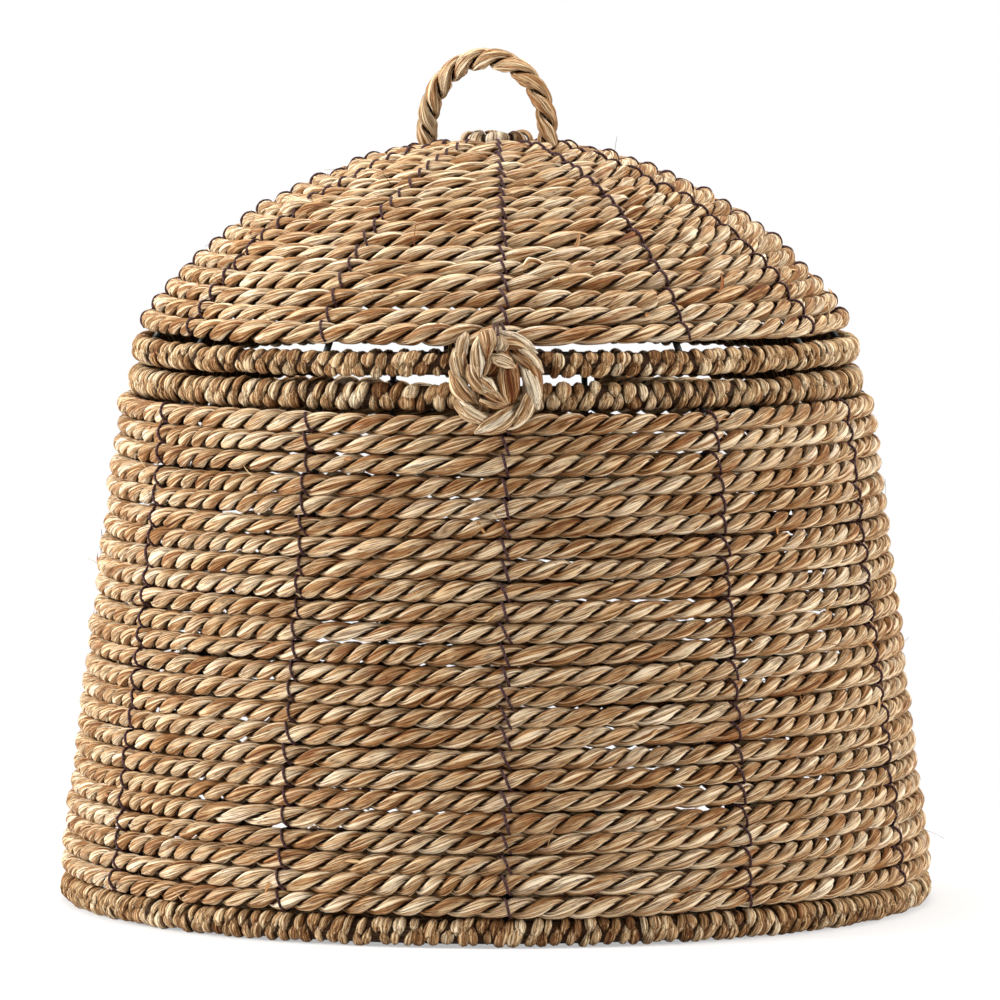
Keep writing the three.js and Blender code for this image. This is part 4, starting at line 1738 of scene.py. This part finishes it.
@dataclass(frozen=True)
class BallKnot:
    """A round plaited knot: one flat strand led round and round a core."""

    radius: float
    half_width: float
    half_thickness: float = 0.0012
    shade: float = 0.55
    leads: int = 3
    bights: int = 4
    steps: int = 200
    tilt: float = math.radians(58)
    change: float = 0.12
    bow_waves: int = 3
    width_waves: int = 5
    mean_depth: float = 1.5
    depth_change: float = 0.7
    core_steps: int = 12
    core_reach: float = 0.8
    core_share: float = 0.82
    core_end: float = 0.05
    core_tone: float = 0.3
    core_painted_shade: float = 0.9

    def add_to(self, weave: Weave, middle: Array) -> None:
        """Add the knot to a weave.

        Args:
            weave: What it is added to.
            middle: The knot's middle.
        """
        rng = weave.rng
        turn = np.arange(self.steps) / self.steps * FULL_TURN
        bow = self.change * np.sin(self.bow_waves * turn + rng.uniform(0, FULL_TURN))
        longitude = self.leads * turn + bow
        latitude = self.tilt * np.cos(self.bights * turn)
        depth = self.mean_depth - self.depth_change * np.sin(2 * self.bights * turn)
        reach = self.radius - self.half_thickness * depth
        level = np.cos(latitude)
        out = np.stack([level * np.cos(longitude), level * np.sin(longitude), np.sin(latitude)], axis=1)
        route = Route.through(middle + out * reach[:, None], out, closed=True)
        change = self.change * np.sin(self.width_waves * turn + rng.uniform(0, FULL_TURN))
        weave.add_band(route, self.half_width * (1 + change), self.half_thickness, self.shade)
        self._add_core(weave, middle)

    def _add_core(self, weave: Weave, middle: Array) -> None:
        """Add the fill inside the plait, darkened with painted shade.

        Args:
            weave: What it is added to.
            middle: The knot's middle.
        """
        rise = np.linspace(-self.core_reach, self.core_reach, self.core_steps)
        route = Route.through(middle + np.outer(rise, [0.0, 0.0, self.radius]), RIGHT)
        turn = np.arange(self.core_steps) / self.core_steps * FULL_TURN
        girth = self.radius * self.core_share * np.sqrt(np.maximum(self.core_end, 1 - rise**2))[:, None]
        outward = girth * np.cos(turn)[None, :]
        upward = girth * np.sin(turn)[None, :]
        grain = np.stack([np.broadcast_to(route.length[:, None], outward.shape), outward, upward], axis=-1)
        weave.add(route.skin(outward, upward)[None], grain[None], self.core_tone, self.core_painted_shade)


@dataclass
class Handle:
    """The rope bow on top, knotted under the lid at both feet."""

    shop: Workshop
    lay: Lay = Lay(
        diameter=0.0101, length=0.0245, gap=0.0008, blades=7, heart_share=0.42, width_share=0.81,
        shade_reach=0.68, untwist=0.85, crease_share=0.10, girth_change=0.03,
    )
    rise: float = 0.0346
    rope_radius: float = 0.00475
    bow_steps: int = 80
    tail_steps: int = 16
    seam_drop: float = 0.0006
    knot: BallKnot = BallKnot(radius=0.0065, half_width=0.0028)

    def build(self) -> None:
        """Make the bow and its knots."""
        shop = self.shop
        sides = ("left", "right")
        feet = []
        tops = []
        for side in sides:
            low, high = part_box(f"handle_foot_{side}")
            feet.append(np.array([(low.x + high.x) / 2, (low.y + high.y) / 2, low.z + self.knot.radius]))
            tops.append(high.z + shop.sizes.seat_gap + self.rope_radius)
        axis_height = max(tops)
        left, right = (np.array([foot[0], foot[1], axis_height]) for foot in feet)
        middle = (left + right) / 2
        turn = np.linspace(math.pi, 0, self.bow_steps)[:, None]
        bow = middle + (right - left) / 2 * np.cos(turn)
        bow = bow + np.array([0.0, 0.0, self.rise]) * np.sin(turn)
        tails = [np.linspace(foot, top, self.tail_steps) for foot, top in zip(feet, (left, right))]
        line = np.vstack([tails[0][:-1], bow, tails[1][::-1][1:]])
        run, even = even_run(line, self.lay.gap)
        line = between(even, run, line)
        hint = line - middle
        hint[:, 2] = np.maximum(hint[:, 2], 0.0)
        weave = TwistedRope(Route.through(line, hint), self.lay, Seed.HANDLE_ROPE.source()).weave(1)[0]
        piece = shop.fit(weave, "handle_rope", Slot.ROPE, None, "handle_bow")
        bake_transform(piece)
        for index, (side, foot) in enumerate(zip(sides, feet)):
            weave = Weave(Seed.HANDLE_KNOTS.source(index))
            self.knot.add_to(weave, foot)
            shop.fit(weave, f"handle_knot_{side}", Slot.ROPE, Body.LID, f"handle_foot_{side}")


def tight_line(first: Array, second: Array, first_radius: float, second_radius: float, steps: int) -> Array:
    """Give the outline of a cord pulled tight round two round pieces.

    Args:
        first: The first piece's middle, in a plane.
        second: The second piece's middle.
        first_radius: The outline's distance from the first middle.
        second_radius: The outline's distance from the second middle.
        steps: Points on each arc.

    Returns:
        The closed outline's points.
    """
    gap = second - first
    bearing = math.atan2(gap[1], gap[0])
    lean = math.asin((first_radius - second_radius) / np.linalg.norm(gap))
    arcs = []
    half = FULL_TURN / 2
    for middle, radius, start, sweep in (
        (second, second_radius, bearing - QUARTER_TURN + lean, half - 2 * lean),
        (first, first_radius, bearing + QUARTER_TURN - lean, half + 2 * lean),
    ):
        turn = start + sweep * np.linspace(0, 1, steps)
        arcs.append(middle + radius * np.stack([np.cos(turn), np.sin(turn)], axis=1))
    return np.vstack(arcs)


@dataclass(frozen=True)
class FoldedLeaf:
    """One leaf of the knot: rows of x, y, z and half width in millimetres, and its tone."""

    shade: float
    rows: tuple[tuple[float, float, float, float], ...]


@dataclass(frozen=True)
class LoopLeaf:
    """One fold of the loop: its ends in x and z and its half width in millimetres, and its tone."""

    start: tuple[float, float]
    end: tuple[float, float]
    half_width: float
    shade: float


KNOT_LEAVES = (
    FoldedLeaf(0.36, (
        (4.4, -194.5, 266.4, 3.0), (5.4, -195.5, 260.5, 4.8), (6.4, -192.5, 254.1, 4.8),
        (6.8, -188.5, 248.8, 2.2),
    )),
    FoldedLeaf(0.25, (
        (8.4, -185.5, 266.0, 2.0), (9.2, -187.0, 260.0, 2.5), (9.2, -186.5, 254.0, 2.4),
        (8.2, -185.0, 249.0, 1.2),
    )),
    FoldedLeaf(0.5, (
        (-11.8, -193.0, 265.9, 2.3), (-11.5, -195.2, 261.4, 3.1), (-8.4, -195.6, 256.8, 3.5),
        (-3.4, -193.0, 252.8, 1.8),
    )),
    FoldedLeaf(0.45, ((-7.6, -191.8, 256.2, 2.2), (-2.0, -194.0, 252.5, 3.9), (3.9, -191.5, 248.9, 1.4))),
    FoldedLeaf(0.3, ((-7.4, -189.5, 249.9, 1.4), (-0.6, -190.6, 247.6, 2.3), (5.0, -189.5, 248.0, 1.4))),
    FoldedLeaf(0.66, ((-7.4, -196.6, 261.2, 1.6), (-3.7, -198.2, 258.0, 3.1), (-0.4, -196.6, 254.6, 1.2))),
    FoldedLeaf(0.6, ((1.2, -197.6, 272.4, 1.8), (2.9, -199.4, 275.6, 3.2), (2.0, -196.8, 279.3, 2.0))),
    FoldedLeaf(0.52, ((-3.6, -198.6, 272.4, 1.1), (-3.5, -200.0, 267.6, 1.8), (-5.4, -198.4, 261.0, 0.5))),
    FoldedLeaf(0.62, (
        (-2.4, -199.4, 270.2, 1.6), (1.7, -201.2, 269.2, 3.5), (5.4, -199.8, 267.7, 3.2),
        (8.9, -196.0, 265.2, 0.5),
    )),
    FoldedLeaf(0.64, (
        (-8.0, -196.6, 277.8, 0.8), (-8.7, -199.8, 272.6, 3.3), (-8.4, -200.9, 267.4, 3.6),
        (-7.2, -197.6, 260.5, 0.6),
    )),
    FoldedLeaf(0.48, (
        (-4.1, -200.0, 269.2, 0.6), (-3.7, -201.6, 273.2, 2.3), (-3.4, -201.2, 277.6, 4.0),
        (-4.4, -198.6, 281.6, 3.9),
    )),
)

LOOP_LEAVES = (
    LoopLeaf((1.0, 280.2), (19.0, 270.5), 2.9, 0.62),
    LoopLeaf((6.5, 275.0), (21.6, 261.5), 3.4, 0.60),
    LoopLeaf((11.5, 267.5), (19.4, 245.5), 3.9, 0.66),
    LoopLeaf((16.5, 257.0), (8.5, 238.5), 3.3, 0.56),
    LoopLeaf((11.0, 248.5), (-9.5, 234.8), 4.2, 0.60),
    LoopLeaf((-17.5, 249.5), (-1.0, 239.5), 3.3, 0.64),
    LoopLeaf((-20.8, 262.5), (-7.0, 246.5), 3.5, 0.58),
    LoopLeaf((-18.8, 272.5), (-14.5, 257.0), 3.4, 0.52),
    LoopLeaf((-13.5, 279.8), (-15.5, 266.0), 3.3, 0.62),
)


@dataclass
class Closure:
    """The rope loop on the lid, the knot and stem on the body, and the loop's binding."""

    shop: Workshop
    loop_lay: Lay = Lay(diameter=0.0094, length=0.0285, gap=0.0009, blades=5, untwist=0.8, crease_share=0.12)
    loop_steps: int = 128
    loop_inset: float = 0.0046
    loop_sway: float = 0.0008
    loop_sway_start: float = 0.6
    loop_sway_weight: float = 8
    folds: tuple[LoopLeaf, ...] = LOOP_LEAVES
    fold_steps: int = 18
    fold_bulge: float = 0.0016
    fold_room: float = 0.5
    fold_lean: float = 0.5
    fold_depth_places: Numbers = (0.0, 0.3, 0.7, 1.0)
    fold_depths: Numbers = (0.0005, -0.0040, -0.0042, -0.0012)
    fold_width_places: Numbers = (0.0, 0.35, 0.7, 1.0)
    fold_widths: Numbers = (0.4, 1.0, 0.95, 0.2)
    knot_centre: Triple = (-0.001, -0.1885, 0.268)
    knot_heart: BallKnot = BallKnot(radius=0.0082, half_width=0.0032, shade=0.1)
    leaves: tuple[FoldedLeaf, ...] = KNOT_LEAVES
    leaf_steps: int = 6
    leaf_half_thickness: float = 0.0020
    leaf_thinnest: float = 0.4
    leaf_ribs: tuple[Span, ...] = ((-0.58, 0.44), (0.56, 0.46), (0.0, 0.56))
    rib_drop: float = 0.7
    stem_lay: Lay = Lay(diameter=0.0074, length=0.020, plies=3, blades=4, gap=0.0009, untwist=0.6)
    stem_root: Triple = (-0.001, -0.1715, 0.250)
    stem_share: float = 0.72
    stem_steps: int = 24
    binding_turns: int = 2
    binding_spacing: float = 0.0017
    binding_radius: float = 0.0006
    binding_steps: int = 14
    binding_sides: int = 8

    def build(self) -> None:
        """Make the loop, the knot with its stem, and the binding."""
        self.loop()
        self.knot()
        self.binding()

    def loop(self) -> None:
        """Twist the loop's rope into a ring and fold leaves over it."""
        low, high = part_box("closure_loop")
        inset = self.loop_inset
        half_width = (high.x - low.x) / 2 - inset
        self.top = np.array([0.0, high.y - inset, high.z - inset])
        self.bottom = np.array([0.0, low.y + inset, low.z + inset])
        middle = (self.top + self.bottom) / 2
        turn = (np.arange(self.loop_steps) / self.loop_steps * FULL_TURN)[:, None]
        sway = self.loop_sway * np.sin(2 * turn + self.loop_sway_start)
        line = middle + half_width * RIGHT * np.sin(turn) * (1 + self.loop_sway_weight * sway)
        line = line + (self.top - self.bottom) / 2 * np.cos(turn)
        route = Route.through(line, line - middle, closed=True)
        weave = Weave(Seed.LOOP_FOLDS.source())
        TwistedRope(route, self.loop_lay, Seed.LOOP_ROPE.source()).add_to(weave)
        for leaf in self.folds:
            self.fold_over(weave, leaf, middle)
        self.shop.fit(weave, "loop_rope", Slot.ROPE, Body.LOOP, "closure_loop")

    def fold_over(self, weave: Weave, leaf: LoopLeaf, middle: Array) -> None:
        """Fold one leaf over the loop's rope.

        Args:
            weave: What it is added to.
            leaf: Where it lies.
            middle: The loop's middle.
        """
        top = self.top
        bottom = self.bottom
        share = np.linspace(0, 1, self.fold_steps)
        start, end = np.array([leaf.start, leaf.end]) / MILLIMETRES_PER_METRE
        flat = start + (end - start) * share[:, None]
        away = flat - np.array([middle[0], middle[2]])
        flat = flat + unit(away) * (self.fold_bulge * np.sin(math.pi * share))[:, None]
        depth = np.interp(flat[:, 1], [bottom[2], top[2]], [bottom[1], top[1]])
        room = 1 - self.fold_room * ease((flat[:, 1] - middle[2]) / (top[2] - middle[2]))
        depth = depth + np.interp(share, self.fold_depth_places, self.fold_depths) * room
        girth = np.interp(share, self.fold_width_places, self.fold_widths)
        width = leaf.half_width / MILLIMETRES_PER_METRE * girth
        line = np.column_stack([flat[:, 0], depth, flat[:, 1]])
        out = unit(line - middle) * self.fold_lean + np.array([0.0, -1.0, 0.0])
        self.add_leaf(weave, line, out, width, leaf.shade)

    def add_leaf(self, weave: Weave, line: Array, outward: Array, width: Array, shade: float) -> None:
        """Add one folded leaf, its folds side by side.

        Args:
            weave: What it is added to.
            line: Its middle line.
            outward: The way that it faces at each point.
            width: Half its width at each point.
            shade: Its tone.
        """
        least = self.leaf_thinnest
        thickness = self.leaf_half_thickness * (least + (1 - least) * width / width.max())
        route = Route.through(line, outward)
        for offset, girth in self.leaf_ribs:
            drop = thickness * abs(offset) * self.rib_drop
            rib = line + route.up * (offset * width)[:, None] - route.out * drop[:, None]
            weave.add_band(Route.through(rib, outward), width * girth, thickness, shade)

    def knot(self) -> None:
        """Make the knot of folded leaves and the stem that holds it to the rim."""
        weave = Weave(Seed.CLOSURE_KNOT.source())
        middle = np.array(self.knot_centre)
        self.knot_heart.add_to(weave, middle)
        for leaf in self.leaves:
            rows = np.array(leaf.rows) / MILLIMETRES_PER_METRE
            line = smooth_line(rows[:, :3], self.leaf_steps)
            share = np.linspace(0, len(rows) - 1, len(line))
            width = np.interp(share, np.arange(len(rows)), rows[:, 3])
            outward = line - middle + np.array([0.0, -self.knot_heart.radius, 0.0])
            self.add_leaf(weave, line, outward, width, leaf.shade)
        root = np.array(self.stem_root)
        line = np.linspace(root, root + (middle - root) * self.stem_share, self.stem_steps)
        TwistedRope(Route.through(line, RIGHT), self.stem_lay, weave.rng).add_to(weave)
        self.shop.fit(weave, "knot_and_stem", Slot.ROPE, Body.BASKET, "closure_knot")

    def binding(self) -> None:
        """Bind the loop to the lid's lowest course."""
        sizes = self.shop.sizes
        radius, height, _, _ = self.shop.lid_line.point(np.array(0.0))
        course = np.array([-float(radius), float(height)])
        path = self.binding_radius + sizes.seat_gap
        reaches = (sizes.rope_radius + path, self.loop_lay.radius + path)
        outline = tight_line(course, self.top[1:], *reaches, self.binding_steps)
        weave = Weave(Seed.LOOP_BINDING.source())
        for index in range(self.binding_turns):
            across = (index - (self.binding_turns - 1) / 2) * self.binding_spacing
            line = np.column_stack([np.full(len(outline), across), outline])
            weave.add_cord(Route.through(line, RIGHT, closed=True), self.binding_radius, self.binding_sides)
        self.shop.fit(weave, "loop_lashing", Slot.THREAD, Body.LID, "loop_binding")


@dataclass
class Hinge:
    """The two ties round both rims at the back, which the lid turns on."""

    shop: Workshop
    turns: int = 3
    half_width: float = 0.00095
    half_thickness: float = 0.00062
    turn_spacing: float = 1.9
    inward_shift: float = 0.0031
    steps_per_turn: int = 24
    arc_steps: int = 20
    shade: float = 0.45
    bend_margin: float = 0.004

    def build(self) -> None:
        """Make both ties."""
        sizes = self.shop.sizes
        back = sizes.front_meridian + math.pi
        half_step = FULL_TURN / self.steps_per_turn / 2
        inset = math.cos(half_step)
        body_rim = np.array([sizes.body_rim_radius * inset, sizes.body_rim_height])
        lid_rim = np.array([sizes.lid_rim_radius * inset, sizes.lid_rim_height])
        away = sizes.seat_gap + self.half_thickness
        reaches = (sizes.body_rim_section / 2 + away, sizes.lid_rim_section / 2 + away)
        outline = tight_line(body_rim, lid_rim, *reaches, self.arc_steps)
        for index, (side, sign) in enumerate((("left", 1), ("right", -1))):
            weave = Weave(Seed.HINGE_TIES.source(index))
            self.add_tie(weave, outline, back + sign * half_step, -sign * self.inward_shift)
            piece = self.shop.fit(weave, f"hinge_lashing_{side}", Slot.WRAP, None, f"hinge_tie_{side}")
            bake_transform(piece)

    def add_tie(self, weave: Weave, outline: Array, azimuth: float, shift: float) -> None:
        """Add one tie to a weave.

        Args:
            weave: What it is added to.
            outline: One turn of it, outward and up.
            azimuth: Where it is.
            shift: How far it is moved aside.
        """
        out = heading(azimuth)
        aside = heading(azimuth + QUARTER_TURN)
        for index in range(self.turns):
            across = (index - (self.turns - 1) / 2) * self.turn_spacing * self.half_width + shift
            line = outline[:, :1] * out + aside * across + outline[:, 1:] * UP
            route = Route.through(line, line - line.mean(axis=0), closed=True)
            weave.add_band(route, self.half_width, self.half_thickness, self.shade)


@dataclass
class StrayFibres:
    """Loose fibres and flakes of husk that stand off the ropes."""

    shop: Workshop
    half_width: float = 0.00022
    half_thickness: float = 0.0001
    lengths: Span = (0.006, 0.020)
    flake_share: float = 0.4
    flake_girth: float = 4.5
    flake_length_share: float = 0.55
    end_margin: int = 20
    angle_change: float = 0.8
    root_share: float = 0.9
    climb_change: float = 0.5
    lifts: Span = (0.05, 0.35)
    lift_power: float = 1.5
    droop: float = 0.5
    curl_change: float = 0.35
    forward_share: float = 0.8
    taper_start: float = 0.08
    taper_reach: float = 0.9
    taper_least: float = 0.05
    shade: float = 0.6
    stations: int = 9

    def build(self, rope: TwistedRope, name: str, body: Body, count: int, seed: Seed) -> None:
        """Scatter fibres over one rope.

        Args:
            rope: The rope that they come out of.
            name: The piece's name.
            body: What it rides on.
            count: How many fibres.
            seed: The seed of their places.
        """
        weave = Weave(seed.source())
        margin = self.end_margin
        for spot in weave.rng.integers(margin, len(rope.route.length) - margin, count):
            self.add_fibre(weave, rope, spot)
        self.shop.fit(weave, name, Slot.ROPE, body, finish=self.shop.finishes.husk)

    def add_fibre(self, weave: Weave, rope: TwistedRope, spot: int) -> None:
        """Add one fibre or flake.

        Args:
            weave: What it is added to.
            rope: The rope that it comes out of.
            spot: The rope's station where it does.
        """
        rng = weave.rng
        route = rope.route
        angle = rng.normal(0, self.angle_change)
        reach = float(rope.reach(rope.phase[spot], np.array(angle))) * self.root_share
        out = route.out[spot] * math.cos(angle) + route.up[spot] * math.sin(angle)
        along = np.cross(route.up[spot], route.out[spot])
        forward = along * rng.choice([-1.0, 1.0]) + route.up[spot] * rng.normal(0, self.climb_change)
        flake = rng.random() < self.flake_share
        length = rng.uniform(*self.lengths) * (self.flake_length_share if flake else 1.0)
        lift = rng.uniform(*self.lifts)
        curl = rng.normal(0, self.curl_change)
        share = np.linspace(0, 1, self.stations)[:, None]
        line = route.centre[spot] + out * reach + forward * share * length * self.forward_share
        line = line + out * lift * length * share**self.lift_power * (1 - self.droop * share)
        line = line + np.cross(out, forward) * curl * length * share**2
        half_width = self.half_width * (self.flake_girth if flake else 1.0)
        arch = np.sin(math.pi * (self.taper_start + self.taper_reach * share[:, 0]))
        taper = np.sqrt(np.clip(arch, self.taper_least, 1))
        weave.add_band(Route.through(line, out), half_width * taper, self.half_thickness, self.shade)


# Studio


@dataclass(frozen=True)
class Lamp:
    """One soft square lamp that looks at the basket, its power in watts."""

    name: str
    place: Triple
    size: float
    power: float
    target: Triple = (0.0, 0.0, 0.18)

    def build(self) -> None:
        """Hang the lamp."""
        data = bpy.data.lights.new(self.name, "AREA")
        data.shape = "SQUARE"
        data.size = self.size
        data.energy = self.power
        lamp = bpy.data.objects.new(self.name, data)
        lamp.location = self.place
        aim = Vector(self.target) - Vector(self.place)
        lamp.rotation_euler = aim.to_track_quat("-Z", "Y").to_euler()
        bpy.context.scene.collection.objects.link(lamp)


@dataclass
class Studio:
    """The floor, the light and the camera."""

    lens: float = 288.0
    sensor_width: float = 36.0
    clip_end: float = 200.0
    camera_place: Triple = (0.0019, -3.84, 0.455)
    camera_pitch: float = math.radians(3.93)
    ambient: float = 0.119
    ambient_colour: Triple = (1.0, 0.71, 0.455)
    background_colour: Triple = (1.0, 1.0, 1.0)
    floor_reach: float = 40.0
    floor_colour: tuple[float, float, float, float] = (0.86, 0.86, 0.86, 1.0)
    floor_roughness: float = 0.9
    floor_specular: float = 0.1
    floor_fade: Fade = Fade(0.21, 0.5, 0.45, 1.0)
    lamps: tuple[Lamp, ...] = (
        Lamp("left_softbox", (-2.0, -0.40, 1.1), 1.1, 69.0),
        Lamp("right_softbox", (2.0, -0.49, 1.05), 1.1, 41.0),
        Lamp("top_softbox", (0.0, 0.25, 2.3), 1.2, 49.0),
    )

    def build(self) -> None:
        """Make the whole set."""
        self.camera()
        self.world()
        self.floor()
        for lamp in self.lamps:
            lamp.build()

    def camera(self) -> None:
        """Stand the camera at the photograph's angle."""
        data = bpy.data.cameras.new("camera")
        data.lens = self.lens
        data.sensor_width = self.sensor_width
        data.clip_end = self.clip_end
        camera = bpy.data.objects.new("camera", data)
        camera.location = self.camera_place
        camera.rotation_euler = (QUARTER_TURN - self.camera_pitch, 0.0, 0.0)
        bpy.context.scene.collection.objects.link(camera)
        bpy.context.scene.camera = camera

    def world(self) -> None:
        """Light the scene softly from all round, with a white background."""
        scene = bpy.context.scene
        scene.view_settings.view_transform = "Standard"
        world = bpy.data.worlds.new("studio")
        scene.world = world
        world.use_nodes = True
        nodes = NodeBuilder(world.node_tree)
        background = nodes.tree.nodes["Background"]
        seen = nodes.seen_directly()
        nodes.put(background.inputs["Color"], nodes.mixed(seen, self.ambient_colour, self.background_colour))
        strength = nodes.add("ShaderNodeMapRange", {"Value": seen, "To Min": self.ambient, "To Max": 1.0})
        nodes.put(background.inputs["Strength"], strength.outputs["Result"])

    def floor(self) -> None:
        """Lay the pale floor, which fades to white away from the basket."""
        reach = self.floor_reach
        mesh = bpy.data.meshes.new("floor")
        corners = [(-reach, -reach, 0), (reach, -reach, 0), (reach, reach, 0), (-reach, reach, 0)]
        mesh.from_pydata(corners, [], [(0, 1, 2, 3)])
        floor = bpy.data.objects.new("floor", mesh)
        bpy.context.scene.collection.objects.link(floor)
        nodes = FinishBuilder("pale_floor")
        mesh.materials.append(nodes.material)
        nodes.drive("Base Color", self.floor_colour)
        nodes.drive("Roughness", self.floor_roughness)
        nodes.drive("Specular IOR Level", self.floor_specular)
        place = nodes.add("ShaderNodeTexCoord").outputs["Object"]
        distance = nodes.add("ShaderNodeVectorMath", {0: place}, operation="LENGTH").outputs["Value"]
        fade = nodes.faded(distance, self.floor_fade)
        share = nodes.maths("MULTIPLY", fade, nodes.seen_directly())
        glow = nodes.add("ShaderNodeEmission", {"Strength": 1.0}).outputs["Emission"]
        mix = nodes.add("ShaderNodeMixShader", {0: share, 1: nodes.shader.outputs["BSDF"], 2: glow})
        nodes.put(nodes.tree.nodes["Material Output"].inputs["Surface"], mix.outputs["Shader"])


def main() -> None:
    """Build the basket's pieces in order and report each one."""
    logging.basicConfig(level=logging.INFO, format="%(name)s: %(message)s")
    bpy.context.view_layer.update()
    sizes = BasketSizes()
    shop = Workshop(sizes, WallLine(sizes), LidLine(sizes), Finishes())
    Studio().build()
    body = BasketBody(shop)
    body.build()
    lid = Lid(shop)
    lid.build()
    Handle(shop).build()
    Closure(shop).build()
    Hinge(shop).build()
    fibres = StrayFibres(shop)
    fibres.build(body.rope, "wall_fibres", Body.BASKET, count=220, seed=Seed.WALL_FIBRES)
    fibres.build(lid.rope, "lid_fibres", Body.LID, count=110, seed=Seed.LID_FIBRES)


if __name__ == "__main__":
    main()
